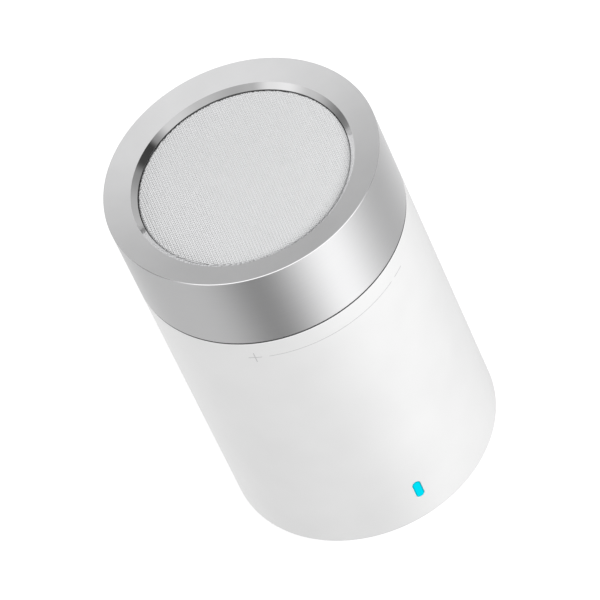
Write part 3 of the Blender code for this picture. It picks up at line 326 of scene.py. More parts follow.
def woven(name, colour, pitch, depth=0.03 * MM, roughness=0.85):
    """Plain weave: two sets of threads, each going over the other in turn."""
    material, n, shader = new_material(name)
    source = n.add("ShaderNodeSeparateXYZ", {"Vector": n.place((1.0 / pitch, 1.0 / pitch, 1.0 / pitch))})
    waves = [n.math("SINE", n.math("MULTIPLY", source.outputs[i], pi)) for i in (0, 1)]
    over = n.math("MULTIPLY", waves[0], waves[1])
    threads = n.math("ABSOLUTE", over)
    # painted shade: the cloth is darker in the grooves between the threads
    darker = tuple(c * 0.55 for c in colour)
    feed(
        n, shader, colour=n.blend(n.span(threads, 0.0, 1.0, 0.0, 0.5), darker, colour),
        roughness=n.span(n.noise(4000.0), roughness - 0.05, roughness + 0.05),
        normal=n.bump(threads, depth), sheen=0.3,
    )
    return material


def cone_pulp(name, colour):
    """Pressed paper: fibres and a slightly uneven surface."""
    material, n, shader = new_material(name)
    fibres = n.noise(2500.0, detail=6.0, roughness=0.75)
    lighter = tuple(c * 1.6 for c in colour)
    feed(
        n, shader, colour=n.blend(n.span(fibres, 0.0, 1.0), colour, lighter),
        roughness=n.span(fibres, 0.55, 0.8), normal=n.bump(fibres, 0.03 * MM),
    )
    return material


def wound_wire(name, colour):
    """Enamelled wire in close turns about Z."""
    material, n, shader = new_material(name)
    pitch = 0.16 * MM
    height = n.add("ShaderNodeSeparateXYZ", {"Vector": n.place()}).outputs[2]
    turns = n.math("SINE", n.math("MULTIPLY", height, 2 * pi / pitch))
    # painted shade: the wire is darker in the grooves between the turns
    darker = tuple(c * 0.5 for c in colour)
    feed(
        n, shader, colour=n.blend(n.span(turns, 0.0, 1.0, -1.0, 0.4), darker, colour), metallic=1.0,
        roughness=0.3, normal=n.bump(turns, 0.03 * MM), coat=0.5,
    )
    return material


def laminate(name, mask, copper):
    """Circuit board: solder mask over a grid of tracks, with tinned pads."""
    material, n, shader = new_material(name)
    cells = n.add(
        "ShaderNodeTexBrick",
        {
            "Vector": n.place(), "Scale": 420.0, "Mortar Size": 0.03, "Bias": 0.0,
            "Brick Width": 0.9, "Row Height": 0.28, "Color1": (0, 0, 0, 1), "Color2": (0.2, 0.2, 0.2, 1),
            "Mortar": (1, 1, 1, 1),
        },
    ).outputs["Fac"]
    dots = n.add(
        "ShaderNodeTexVoronoi", {"Vector": n.place(), "Scale": 520.0, "Randomness": 0.35}
    ).outputs["Distance"]
    pads = n.span(dots, 1.0, 0.0, 0.16, 0.2)
    track = tuple(c * 1.7 for c in mask)
    board = n.blend(cells, mask, track)
    feed(
        n, shader, colour=n.blend(pads, board, copper), metallic=n.math("MULTIPLY", pads, 0.9),
        roughness=n.span(pads, 0.4, 0.28, 0.0, 1.0), normal=n.bump(cells, 0.02 * MM),
    )
    return material


def shrink_wrap(name, colour, band):
    """Printed film round the cell: a plain band on a coloured sleeve, finely wrinkled."""
    material, n, shader = new_material(name)
    band_level = 30.0 * MM
    band_half = 5.0 * MM
    height = n.add("ShaderNodeSeparateXYZ", {"Vector": n.place()}).outputs[2]
    away = n.math("ABSOLUTE", n.math("SUBTRACT", height, band_level))
    middle = n.span(away, 1.0, 0.0, band_half, band_half + 0.1 * MM)
    wrinkles = n.noise(300.0, detail=3.0, stretch=(1.0, 1.0, 0.25))
    feed(
        n, shader, colour=n.blend(middle, colour, band), roughness=n.span(wrinkles, 0.25, 0.4),
        normal=n.bump(wrinkles, 0.05 * MM), coat=0.3,
    )
    return material


def glowing_lens(name, core, edge):
    """Frosted light pipe: brightest along its middle, deeper towards its edge."""
    material, n, shader = new_material(name)
    place = n.add("ShaderNodeSeparateXYZ", {"Vector": n.place()})
    half = (LENS_LENGTH - LENS_WIDTH) / 2
    rise = n.math("SUBTRACT", n.math("ABSOLUTE", n.math("SUBTRACT", place.outputs[2], LIGHT_Z)), half)
    rise = n.math("MAXIMUM", rise, 0.0)
    across = n.math("SQRT", n.math("ADD", n.math("POWER", place.outputs[0], 2.0), n.math("POWER", rise, 2.0)))
    core_half, edge_half = 0.62 * MM, 0.94 * MM
    rim = n.span(across, 0.0, 1.0, core_half, edge_half)
    frost = n.noise(5000.0, detail=2.0)
    glow = n.blend(rim, core, edge)
    feed(
        n, shader, colour=(0.0, 0.06, 0.08), roughness=n.span(frost, 0.3, 0.4), emission=glow,
        glow=1.0, specular=0.0, normal=n.bump(frost, 0.003 * MM),
    )
    return material


def printed_ink(name, colour):
    """Thin pad-printed ink, slightly uneven."""
    material, n, shader = new_material(name)
    patches = n.noise(5000.0, detail=3.0)
    lighter = tuple(min(1.0, c * 1.06) for c in colour)
    feed(
        n, shader, colour=n.blend(n.span(patches, 0.0, 1.0), colour, lighter),
        roughness=n.span(patches, 0.5, 0.6), normal=n.bump(patches, 0.002 * MM),
    )
    return material


WHITE = (0.79, 0.79, 0.79)

MATERIALS = {
    "white_plastic": moulded_plastic("white_plastic", WHITE, 0.45),
    "ring_wall": brushed_wall("ring_wall", (0.70, 0.70, 0.705)),
    "ring_face": blasted_face("ring_face", (0.72, 0.72, 0.725)),
    "ring_cut": cut_metal("ring_cut", (0.87, 0.87, 0.875), 0.06),
    "ring_inside": plain_metal("ring_inside", (0.5, 0.5, 0.505), 0.4),
    "grille_paint": moulded_plastic("grille_paint", (0.775, 0.778, 0.785), 0.55, drift=0.012),
    "lens": glowing_lens("lens", (0.0, 0.70, 0.86), (0.0, 0.30, 0.38)),
    "ink": printed_ink("ink", (0.5, 0.5, 0.505)),
    # dark rubber of the seal, which on its flange over the body's top edge is painted shade in the seam
    "seam_rubber_and_shade": rubber("seam_rubber_and_shade", (0.06, 0.06, 0.062)),
    "grey_rubber": rubber("grey_rubber", (0.32, 0.32, 0.325)),
    "black_rubber": rubber("black_rubber", (0.03, 0.03, 0.03)),
    "black_foam": foam("black_foam", (0.02, 0.02, 0.02)),
    "acoustic_cloth": woven("acoustic_cloth", (0.62, 0.63, 0.64), 0.25 * MM),
    "spider_cloth": woven("spider_cloth", (0.5, 0.36, 0.14), 0.35 * MM),
    "bearing_plastic": moulded_plastic("bearing_plastic", (0.82, 0.8, 0.74), 0.32, drift=0.03),
    "black_plastic": moulded_plastic("black_plastic", (0.035, 0.035, 0.038), 0.48, depth=0.01 * MM),
    "steel": plain_metal("steel", (0.42, 0.42, 0.43), 0.32),
    "basket_steel": plain_metal("basket_steel", (0.09, 0.09, 0.095), 0.45),
    "magnet_plating": plain_metal("magnet_plating", (0.6, 0.59, 0.57), 0.22),
    "cone_paper": cone_pulp("cone_paper", (0.05, 0.05, 0.055)),
    "coil_wire": wound_wire("coil_wire", (0.72, 0.34, 0.14)),
    "cell_wrap": shrink_wrap("cell_wrap", (0.07, 0.25, 0.5), (0.75, 0.76, 0.78)),
    "board_laminate": laminate("board_laminate", (0.01, 0.11, 0.05), (0.75, 0.72, 0.66)),
    "chip_plastic": moulded_plastic("chip_plastic", (0.025, 0.025, 0.027), 0.4, depth=0.006 * MM),
    "connector_plastic": moulded_plastic("connector_plastic", (0.78, 0.74, 0.62), 0.4),
    "can_aluminium": plain_metal("can_aluminium", (0.7, 0.7, 0.71), 0.28),
    "lead_sleeve": moulded_plastic("lead_sleeve", (0.07, 0.07, 0.075), 0.35, coat=0.2),
    "contact_gold": plain_metal("contact_gold", (0.8, 0.58, 0.25), 0.2),
    "button_plastic": moulded_plastic("button_plastic", (0.78, 0.785, 0.79), 0.36),
}


# ---------------------------------------------------------------- shapes

def link_new(name, mesh):
    obj = bpy.data.objects.new(name, mesh)
    bpy.context.scene.collection.objects.link(obj)
    return obj


def arc(centre_r, centre_z, radius, start, end, count):
    """Points of an arc in the (r, z) plane, angles in degrees."""
    points = []
    for i in range(count + 1):
        angle = radians(start + (end - start) * i / count)
        points.append((centre_r + radius * cos(angle), centre_z + radius * sin(angle)))
    return points


def turned(name, profile, zones=None, turns=TURNS, tilt=None):
    """A turned piece from a closed (r, z) profile; going up, its outside is on the right.

    zones gives each profile edge a material index; tilt gives some edges their own shading normal, as an
    elevation in degrees with the radial direction in the profile plane. Points on the axis become one vertex.
    """
    count = len(profile)
    verts, rows = [], []
    for r, z in profile:
        if r < 1e-9:
            rows.append([len(verts)] * turns)
            verts.append((0.0, 0.0, z))
            continue
        rows.append(list(range(len(verts), len(verts) + turns)))
        verts += [(r * cos(2 * pi * k / turns), r * sin(2 * pi * k / turns), z) for k in range(turns)]
    faces, edges_of = [], []
    for i in range(count):
        a, b = rows[i], rows[(i + 1) % count]
        if a[0] == a[1] and b[0] == b[1]:
            continue
        for k in range(turns):
            m = (k + 1) % turns
            face = [a[k], a[m], b[m], b[k]]
            face = [v for j, v in enumerate(face) if v != face[j - 1]]
            faces.append(face)
            edges_of.append(i)
    mesh = bpy.data.meshes.new(name)
    mesh.from_pydata(verts, [], faces)
    normals = edge_normals(profile, tilt or {})
    shown = []
    for polygon, edge in zip(mesh.polygons, edges_of):
        polygon.use_smooth = True
        polygon.material_index = (zones or {}).get(edge, 0)
        start, end = rows[edge], rows[(edge + 1) % count]
        starts = set(start)
        for v in polygon.vertices:
            r, z = normals[edge][0 if v in starts and start[0] != end[0] else 1]
            x, y = verts[v][:2]
            size = hypot(x, y)
            if size < 1e-9:
                shown.append((0.0, 0.0, 1.0 if z > 0 else -1.0))
            else:
                shown.append((r * x / size, r * y / size, z))
    mesh.normals_split_custom_set(shown)
    return link_new(name, mesh)


def edge_normals(profile, tilt):
    """The normal at the start and the end of each profile edge: shared on smooth bends, own at corners."""
    count = len(profile)
    own, size = [], []
    for i in range(count):
        (r0, z0), (r1, z1) = profile[i], profile[(i + 1) % count]
        length = hypot(r1 - r0, z1 - z0)
        own.append(((z1 - z0) / max(length, 1e-12), -(r1 - r0) / max(length, 1e-12)))
        size.append(length)
    result = []
    for i in range(count):
        ends = []
        for other in (i - 1, (i + 1) % count):
            close = own[i][0] * own[other][0] + own[i][1] * own[other][1] > cos(radians(28))
            if not close or size[i] > 4 * size[other]:
                ends.append(own[i])
            elif size[other] > 4 * size[i]:
                ends.append(own[other])
            else:
                r, z = own[i][0] + own[other][0], own[i][1] + own[other][1]
                length = hypot(r, z)
                ends.append((r / length, z / length))
        if i in tilt:
            angle = radians(tilt[i])
            ends = [(cos(angle), sin(angle))] * 2
        result.append(ends)
    return result


def stadium(length, width, points=12):
    """Outline of a slot with round ends, its long side along the second axis."""
    radius = width / 2
    straight = (length - width) / 2
    outline = []
    for side, start in ((1, 0), (-1, 180)):
        for i in range(points + 1):
            angle = radians(start + 180 * i / points)
            outline.append((radius * cos(angle), side * straight + radius * sin(angle)))
    return outline


def swapped(outline):
    """The same outline with its long side along the first axis."""
    return [(y, -x) for x, y in outline]


def circle(radius, points=32):
    return [(radius * cos(2 * pi * i / points), radius * sin(2 * pi * i / points)) for i in range(points)]


def grown(outline, margin):
    """An outline moved outwards by a margin along its own normals."""
    result = []
    count = len(outline)
    for i in range(count):
        (x0, y0), (x1, y1) = outline[i - 1], outline[(i + 1) % count]
        dx, dy = x1 - x0, y1 - y0
        length = hypot(dx, dy)
        x, y = outline[i]
        result.append((x + margin * dy / length, y - margin * dx / length))
    return result


def wrapped(name, sections, degrees_at, level):
    """A closed loft on the curved wall. sections are (radius, outline) from inside to outside."""
    mesh = bpy.data.meshes.new(name)
    verts, faces = [], []
    count = len(sections[0][1])
    base = radians(degrees_at)
    for radius, outline in sections:
        for u, v in outline:
            angle = base + u / BODY_RADIUS
            verts.append((radius * cos(angle), radius * sin(angle), level + v))
    for s in range(len(sections) - 1):
        for i in range(count):
            j = (i + 1) % count
            a, b = s * count, (s + 1) * count
            faces.append((a + i, a + j, b + j, b + i))
    faces.append(tuple(reversed(range(count))))
    last = (len(sections) - 1) * count
    faces.append(tuple(last + i for i in range(count)))
    mesh.from_pydata(verts, [], faces)
    face_outwards(mesh)
    return link_new(name, mesh)


def face_outwards(mesh):
    """Turn every face of a closed mesh outwards."""
    shape = bmesh.new()
    shape.from_mesh(mesh)
    bmesh.ops.recalc_face_normals(shape, faces=shape.faces)
    shape.to_mesh(mesh)
    shape.free()


def boxes(name, places, edge):
    """Boxes with bevelled edges, in one mesh; each is (centre, size)."""
    shape = bmesh.new()
    for centre, size in places:
        made = bmesh.ops.create_cube(shape, size=1.0)["verts"]
        bmesh.ops.scale(shape, vec=Vector(size), verts=made)
        bmesh.ops.translate(shape, vec=Vector(centre), verts=made)
    bmesh.ops.bevel(shape, geom=shape.edges[:], offset=edge, segments=2, profile=0.5, affect="EDGES")
    mesh = bpy.data.meshes.new(name)
    shape.to_mesh(mesh)
    shape.free()
    mesh.shade_smooth()
    mesh.set_sharp_from_angle(angle=radians(40))
    return link_new(name, mesh)


def apply_modifiers(obj):
    """Replace an object's mesh by its evaluated one."""
    bpy.context.view_layer.update()
    evaluated = obj.evaluated_get(bpy.context.evaluated_depsgraph_get())
    mesh = bpy.data.meshes.new_from_object(evaluated)
    obj.modifiers.clear()
    obj.data = mesh
    return obj


def cut(obj, tools):
    for tool in tools:
        modifier = obj.modifiers.new(tool.name, "BOOLEAN")
        modifier.operation = "DIFFERENCE"
        modifier.solver = "EXACT"
        modifier.object = tool
    apply_modifiers(obj)
    for tool in tools:
        bpy.data.objects.remove(tool, do_unlink=True)
    return obj


def round_wall_normals(obj, radius):
    """Exact normals on a cut round wall, so that the cuts leave no shading marks on it."""
    mesh = obj.data
    mesh.shade_smooth()
    mesh.set_sharp_from_angle(angle=radians(28))
    shown = []
    for polygon in mesh.polygons:
        centre = polygon.center
        reach = hypot(centre.x, centre.y)
        upright = abs(polygon.normal.z) < 0.02
        outward = (polygon.normal.x * centre.x + polygon.normal.y * centre.y) / max(reach, 1e-9)
        wall = upright and outward > 0.98 and abs(reach - radius) < 0.05 * MM
        for v in polygon.vertices:
            point = mesh.vertices[v].co
            size = hypot(point.x, point.y)
            shown.append((point.x / size, point.y / size, 0.0) if wall else (0.0, 0.0, 0.0))
    mesh.normals_split_custom_set(shown)


def dress(obj, body, *materials):
    """Give a piece its materials and let it ride on a body."""
    if obj.data.materials:          # clearing also resets the faces' material indices
        obj.data.materials.clear()
    for name in materials:
        obj.data.materials.append(MATERIALS[name])
    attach(obj, body)
    return obj


# ---------------------------------------------------------------- body

LENS_OUTLINE = stadium(LENS_LENGTH, LENS_WIDTH)
PORT_OUTLINE = swapped(stadium(8.2 * MM, 3.5 * MM))
BUTTON_HOLE = circle(2.6 * MM)


def opening_cutter(name, outline, degrees_at, level, flare=0.15 * MM):
    """Cutter through the wall, opened out slightly at the outer face."""
    return wrapped(
        name,
        [
            (BODY_RADIUS - WALL - 2 * MM, outline), (BODY_RADIUS - flare, outline),
            (BODY_RADIUS + 1 * MM, grown(outline, flare + 1 * MM)),
        ],
        degrees_at, level,
    )


def body_shell():
    inner = BODY_RADIUS - WALL
    top = 0.18 * MM
    rebate_width, rebate_depth = 1.3 * MM, 0.9 * MM
    profile = [
        (inner, BODY_BOTTOM),
        *arc(BODY_RADIUS - BODY_EDGE, BODY_BOTTOM + BODY_EDGE, BODY_EDGE, -90, 0, 10),
        *arc(BODY_RADIUS - top, BODY_TOP - top, top, 0, 90, 5),
        (inner + rebate_width, BODY_TOP), (inner + rebate_width, BODY_TOP - rebate_depth),
        (inner, BODY_TOP - rebate_depth),
    ]
    shell = turned("shell", profile)
    cut(shell, [
        opening_cutter("lens_cut", grown(LENS_OUTLINE, 0.07 * MM), LIGHT_ANGLE, LIGHT_Z, 0.06 * MM),
        opening_cutter("port_cut", PORT_OUTLINE, SOCKET_ANGLE, SOCKET_Z, 0.3 * MM),
        opening_cutter("button_cut", BUTTON_HOLE, BUTTON_ANGLE, BUTTON_Z),
        opening_cutter("mic_cut", circle(0.45 * MM, 20), MIC_ANGLE, LIGHT_Z, 0.12 * MM),
    ])
    round_wall_normals(shell, BODY_RADIUS)
    dress(shell, "housing", "white_plastic")
    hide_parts("body_shell")


def light_lens():
    """Lens whose face follows the wall and rolls over at its edge."""
    edge = 0.16 * MM
    sections = [(BODY_RADIUS - WALL - 0.75 * MM, LENS_OUTLINE)]
    for i in range(6):
        angle = pi / 2 * i / 5
        face = grown(LENS_OUTLINE, -edge * (1 - cos(angle)))
        sections.append((BODY_RADIUS - edge * (1 - sin(angle)), face))
    sections.append((BODY_RADIUS + 0.02 * MM, grown(LENS_OUTLINE, -0.45 * MM)))
    lens = wrapped("light_lens", sections, LIGHT_ANGLE, LIGHT_Z)
    lens.data.shade_smooth()
    lens.data.set_sharp_from_angle(angle=radians(40))
    dress(lens, "housing", "lens")
    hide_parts("light_window")


def seam_gasket_and_shade():
    """Seal between body and ring; its thin dark flange over the body's top edge is painted shade in the seam.
    """
    low = GASKET_LOW[2]
    inner, outer = BODY_RADIUS - WALL + 0.3 * MM, GASKET_HIGH[0]
    # the flange reaches nearly to the outer wall so the seam shows dark: painted shade where the gap is in
    # shade
    reach = BODY_RADIUS - 0.08 * MM
    shelf = BODY_TOP + 0.01 * MM
    high = shelf + 0.2 * MM
    edge = 0.05 * MM
    profile = [
        (inner, low), (outer, low), (outer, shelf), (reach, shelf),
        *arc(reach - edge, high - edge, edge, 0, 90, 4), *arc(inner + edge, high - edge, edge, 90, 180, 4),
    ]
    gasket = dress(turned("seam_gasket_and_shade", profile), "housing", "seam_rubber_and_shade")
    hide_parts("seam_ring")


def base_cover():
    """Underside: a rim with a shadow groove, round the rubber foot."""
    low = BODY_BOTTOM
    inner = FOOT_RADIUS + 0.3 * MM
    edge = 0.3 * MM
    groove = 0.35 * MM
    groove_depth = 0.4 * MM
    middle = (inner + COVER_RADIUS) / 2
    plate_top = BODY_BOTTOM + 3.0 * MM
    recess = FOOT_HIGH[2] + 0.3 * MM
    profile = [
        (0.0, recess), (inner, recess), (inner, low + edge),
        *arc(inner + edge, low + edge, edge, 180, 270, 4)[1:],
        (middle - groove, low), (middle - groove, low + groove_depth), (middle + groove, low + groove_depth),
        (middle + groove, low), *arc(COVER_RADIUS - edge, low + edge, edge, 270, 360, 4),
        (COVER_RADIUS, plate_top), (0.0, plate_top),
    ]
    cover = dress(turned("base_plate", profile), "housing", "white_plastic")
    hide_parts("base_cover")


def foot():
    """Silicone foot with moulded concentric ribs."""
    top = FOOT_HIGH[2]
    edge = 0.4 * MM
    sunk = 0.18 * MM                # the ribs stand out of the underside by this much
    pitch = 2.4 * MM
    profile = [(0.0, sunk)]
    rib = 7.0 * MM
    while rib < FOOT_RADIUS - 3 * MM:
        profile += [
            (rib, sunk), (rib + 0.15 * MM, 0.03 * MM), (rib + 0.3 * MM, 0.0), (rib + 0.9 * MM, 0.0),
            (rib + 1.05 * MM, 0.03 * MM), (rib + 1.2 * MM, sunk),
        ]
        rib += pitch
    last = FOOT_RADIUS - 1.8 * MM
    profile += [(last, sunk), (last + 0.2 * MM, 0.0)]
    profile += [*arc(FOOT_RADIUS - edge, edge, edge, 270, 360, 6), (FOOT_RADIUS, top), (0.0, top)]
    pad = dress(turned("foot", profile), "housing", "grey_rubber")
    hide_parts("foot_pad")


# ---------------------------------------------------------------- marks printed below the ring

def printed_strip(name, shapes, thickness=0.02 * MM):
    """Ink on the curved wall; each shape is (start angle, end angle, low, high) in degrees and metres."""
    mesh = bpy.data.meshes.new(name)
    verts, faces = [], []
    for start, end, low, high in shapes:
        steps = max(1, int(abs(end - start) / 1.0))
        first = len(verts)
        for i in range(steps + 1):
            angle = radians(start + (end - start) * i / steps)
            for radius in (BODY_RADIUS - thickness, BODY_RADIUS + thickness):
                for z in (low, high):
                    verts.append((radius * cos(angle), radius * sin(angle), z))
        for i in range(steps):
            a, b = first + 4 * i, first + 4 * (i + 1)
            faces += [
                (a + 2, b + 2, b + 3, a + 3), (b, a, a + 1, b + 1),
                (a, b, b + 2, a + 2), (b + 1, a + 1, a + 3, b + 3),
            ]
        faces += [(first, first + 2, first + 3, first + 1)]
        last = first + 4 * steps
        faces += [(last + 2, last, last + 1, last + 3)]
    mesh.from_pydata(verts, [], faces)
    mesh.shade_smooth()
    mesh.set_sharp_from_angle(angle=radians(40))
    strip = dress(link_new(name, mesh), "housing", "ink")


MARK_LEVEL = 67.4 * MM
PLUS_ANGLE = -127.38
LINE_SPAN = (-121.5, -61.9)
MINUS_SPAN = (-59.35, -53.7)


def volume_marks():
    line = 0.17 * MM
    fine = 0.07 * MM                # half the width of the long line
    arm = 1.5 * MM
    level = MARK_LEVEL
    plus = PLUS_ANGLE
    turn = degrees(arm / BODY_RADIUS)
    thin = degrees(line / BODY_RADIUS)
    printed_strip("mark_plus", [
        (plus - turn, plus - thin / 2, level - line / 2, level + line / 2),
        (plus + thin / 2, plus + turn, level - line / 2, level + line / 2),
        (plus - thin / 2, plus + thin / 2, level - arm, level + arm),
    ])
    printed_strip("mark_line", [(*LINE_SPAN, level - fine, level + fine)])
    printed_strip("mark_minus", [(*MINUS_SPAN, level - line / 2, level + line / 2)])


# ---------------------------------------------------------------- ring and grille

RING_WALL, RING_FACE, RING_CUT, RING_INSIDE = range(4)
EDGE_ELEVATION = 65.0           # degrees: the shading normal of the ring's thin outer edge


def volume_ring():
    inner = BODY_RADIUS - WALL
    bore = OPENING_RADIUS - CHAMFER_WIDTH
    underside = OPENING_Z - FLANGE
    foot_edge = 0.1 * MM
    cut_edge = 0.12 * MM
    lip = 0.06 * MM
    profile = [
        (inner, RING_BOTTOM),
        *arc(BODY_RADIUS - foot_edge, RING_BOTTOM + foot_edge, foot_edge, 270, 360, 4),
        (BODY_RADIUS, RING_TOP - cut_edge), (BODY_RADIUS - cut_edge, RING_TOP),
        (OPENING_RADIUS + lip, OPENING_Z), (OPENING_RADIUS, OPENING_Z - lip),
        (bore, OPENING_Z - CHAMFER_DEPTH), (bore, underside), (inner, underside),
    ]
    corner = profile.index((BODY_RADIUS, RING_TOP - cut_edge))
    zones = {i: RING_WALL for i in range(corner)}
    zones.update({corner: RING_CUT, corner + 1: RING_FACE, corner + 2: RING_CUT, corner + 3: RING_CUT})
    zones.update({i: RING_INSIDE for i in range(corner + 4, len(profile))})
    ring = turned("volume_dial", profile, zones, tilt={corner: EDGE_ELEVATION})
    dress(ring, "volume_ring", "ring_wall", "ring_face", "ring_cut", "ring_inside")
    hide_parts("control_ring")


def crown(r):
    return GRILLE_RIM + GRILLE_CROWN * (1 - (r / GRILLE_RADIUS) ** 2)


def grille_mesh():
    """Fine wire cloth: two sets of flattened wires that pass over and under each other."""
    pitch = 0.45 * MM
    width = 0.47 * MM
    rise = 0.006 * MM
    thick = 0.014 * MM
    reach = RIM_RADIUS - 0.2 * MM
    sink = 0.06 * MM
    turn = radians(33.0)
    verts, faces = [], []
    count = int(reach / pitch)
    for direction in (0, 1):
        for i in range(-count, count + 1):
            offset = i * pitch
            half = sqrt(max(reach ** 2 - offset ** 2, 0.0))
            steps = int(2 * half / (pitch / 2))
            first = len(verts)
            middle = steps // 2
            for k in range(steps + 1):
                along = (k - middle) * pitch / 2
                phase = (k - middle) % 4
                wave = (0, 1, 0, -1)[phase] if (i + direction) % 2 else (0, -1, 0, 1)[phase]
                lift = wave * rise
                for side, top in ((-0.5, -0.35), (0.0, 0.5), (0.5, -0.35)):
                    a, b = along, offset + side * width
                    x, y = (a, b) if direction == 0 else (b, a)
                    z = crown(hypot(x, y)) - sink + lift + top * thick
                    verts.append((x * cos(turn) - y * sin(turn), x * sin(turn) + y * cos(turn), z))
            for k in range(steps):
                for c in range(3):
                    d = (c + 1) % 3
                    a, b = first + 3 * k, first + 3 * (k + 1)
                    face = (a + c, a + d, b + d, b + c)
                    faces.append(face if direction == 0 else face[::-1])
            last = first + 3 * steps
            ends = [(first + 2, first + 1, first), (last, last + 1, last + 2)]
            faces += ends if direction == 0 else [end[::-1] for end in ends]
    mesh = bpy.data.meshes.new("grille_cloth")
    mesh.from_pydata(verts, [], faces)
    mesh.shade_smooth()
    cloth = dress(link_new("grille_cloth", mesh), "housing", "grille_paint")


def grille_rim():
    """Rolled rim that holds the wire cloth, with the skirt below it."""
    inner = GRILLE_RADIUS - 0.5 * MM
    roll = 0.3 * MM
    low = GRILLE_LOW[2]
    top = crown(RIM_RADIUS) - 0.12 * MM
    step = top - 0.9 * MM
    profile = [
        (inner, low), (GRILLE_RADIUS, low), (GRILLE_RADIUS, step), (RIM_RADIUS, step + 0.1 * MM),
        *arc(RIM_RADIUS - roll, top - roll, roll, 0, 90, 6), (inner, top),
    ]
    rim = dress(turned("grille_rim", profile), "housing", "grille_paint")
    return rim


# ---------------------------------------------------------------- back: port, button, pinhole

def charging_port():
    """Drawn socket shell with its tongue and two rows of contacts."""
    depth = SOCKET_HIGH[1] - SOCKET_LOW[1]
    length, height, wall = 7.6 * MM, 2.9 * MM, 0.32 * MM
    outside = swapped(stadium(length, height, 10))
    inside = swapped(stadium(length - 2 * wall, height - 2 * wall, 10))
    lip = 0.12 * MM
    rings = [
        (0.0, outside), (depth - lip, outside), (depth, grown(outside, -lip)),
        (depth, grown(inside, lip)), (depth - lip, inside), (0.9 * MM, inside),
    ]
    verts, faces = [], []
    count = len(outside)
    for reach, outline in rings:
        verts += [(u, SOCKET_LOW[1] + reach, SOCKET_Z + v) for u, v in outline]
    for s in range(len(rings) - 1):
        for i in range(count):
            j = (i + 1) % count
            faces.append((s * count + i, (s + 1) * count + i, (s + 1) * count + j, s * count + j))
    faces.append(tuple(range(count)))
    faces.append(tuple(reversed(range((len(rings) - 1) * count, len(rings) * count))))
    mesh = bpy.data.meshes.new("charging_port")
    mesh.from_pydata(verts, [], faces)
    face_outwards(mesh)
    mesh.shade_smooth()
    mesh.set_sharp_from_angle(angle=radians(35))
    port = dress(link_new("charging_port", mesh), "housing", "steel")
    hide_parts("charging_socket")

    blade = (5.0 * MM, 4.1 * MM, 0.7 * MM)
    tongue = boxes("port_tongue", [((0.0, SOCKET_LOW[1] + 2.85 * MM, SOCKET_Z), blade)], 0.1 * MM)
    dress(tongue, "housing", "black_plastic")
    contacts = []
    contact = (0.26 * MM, 2.6 * MM, 0.06 * MM)
    for side in (-1, 1):
        for i in range(8):
            x = (i - 3.5) * 0.5 * MM
            contacts.append(((x, SOCKET_LOW[1] + 3.2 * MM, SOCKET_Z + side * 0.35 * MM), contact))
    pins = dress(boxes("port_contacts", contacts, 0.01 * MM), "housing", "contact_gold")


def push_button():
    """Button cap with a rolled edge, a dished face and its collar behind the wall."""
    face = BODY_RADIUS + 0.2 * MM
    radius = 2.3 * MM
    roll = 0.3 * MM
    collar = BODY_RADIUS - WALL - 0.6 * MM
    back = collar - 0.9 * MM
    dish = [(0.3 * MM * i, face - 0.16 * MM * (1 - (i / 6) ** 2)) for i in range(7)]
    profile = [
        (0.0, back), (radius + 0.8 * MM, back), (radius + 0.8 * MM, collar), (radius, collar),
        *arc(radius - roll, face - roll, roll, 0, 90, 5), *reversed(dish),
    ]
    cap = turned("button_cap", profile, turns=64)
    place = Matrix.Translation((0, 0, BUTTON_Z)) @ Matrix.Rotation(radians(BUTTON_ANGLE), 4, "Z")
    cap.data.transform(place @ Matrix.Rotation(pi / 2, 4, "Y"))
    dress(cap, "button", "button_plastic")
    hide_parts("function_button")


# ---------------------------------------------------------------- nodes that stay as they are

NODE_MATERIALS = {
    "black_rubber": ("surround", "chamber_seal", "lead_grommet", "cell_pad", "microphone_boot"),
    "black_foam": ("driver_gasket",), "acoustic_cloth": ("dust_cloth",), "spider_cloth": ("spider",),
    "bearing_plastic": ("ring_gear", "lower_glide_ring", "upper_glide_ring", "pinion_gear"),
    "black_plastic": (
        "deck_plate", "inner_frame", "grille_hoop", "chamber_plate", "cell_cradle", "encoder_body",
    ),
    "steel": (
        "base_screw_1", "base_screw_2", "base_screw_3", "deck_screw_1", "deck_screw_2", "deck_screw_3",
        "frame_screw_1", "frame_screw_2", "frame_screw_3", "bracket_screw_1", "bracket_screw_2",
        "encoder_bracket", "encoder_shaft", "yoke_cup", "pole_plate", "radio_shield",
    ),
    "basket_steel": ("driver_basket",), "magnet_plating": ("magnet",), "cone_paper": ("cone", "dust_cap"),
    "coil_wire": ("voice_coil",), "cell_wrap": ("battery_cell",), "board_laminate": ("main_board",),
    "chip_plastic": ("amplifier_chip", "button_switch"), "connector_plastic": ("lead_header", "light_chip"),
    "can_aluminium": ("capacitor", "microphone"), "lead_sleeve": ("driver_lead", "cell_lead", "encoder_lead"),
}


def dress_nodes():
    for material, names in NODE_MATERIALS.items():
        for name in names:
            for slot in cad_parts[name].material_slots:
                slot.material = MATERIALS[material]


# ---------------------------------------------------------------- stage and light

WORLD_LEVEL = 0.48
FLOOR_GLOW = 0.85
FLOOR_SIZE = 6.0                # half the floor's width
FLOOR_LEVEL = -0.02 * MM        # just clear of the foot's ribs
TENT_RADIUS = 3.0
TENT_HEIGHT = 0.08

LOW_LEVEL = 0.78
# (azimuth, half-width, level) of the soft panels below the horizon
LOW_PANELS = (
    (-64.0, 24.0, 0.9), (-125.0, 25.0, -0.69), (-2.0, 26.0, -0.3), (64.0, 30.0, 0.2), (104.0, 16.0, 0.14),
    (150.0, 30.0, -0.12),
)
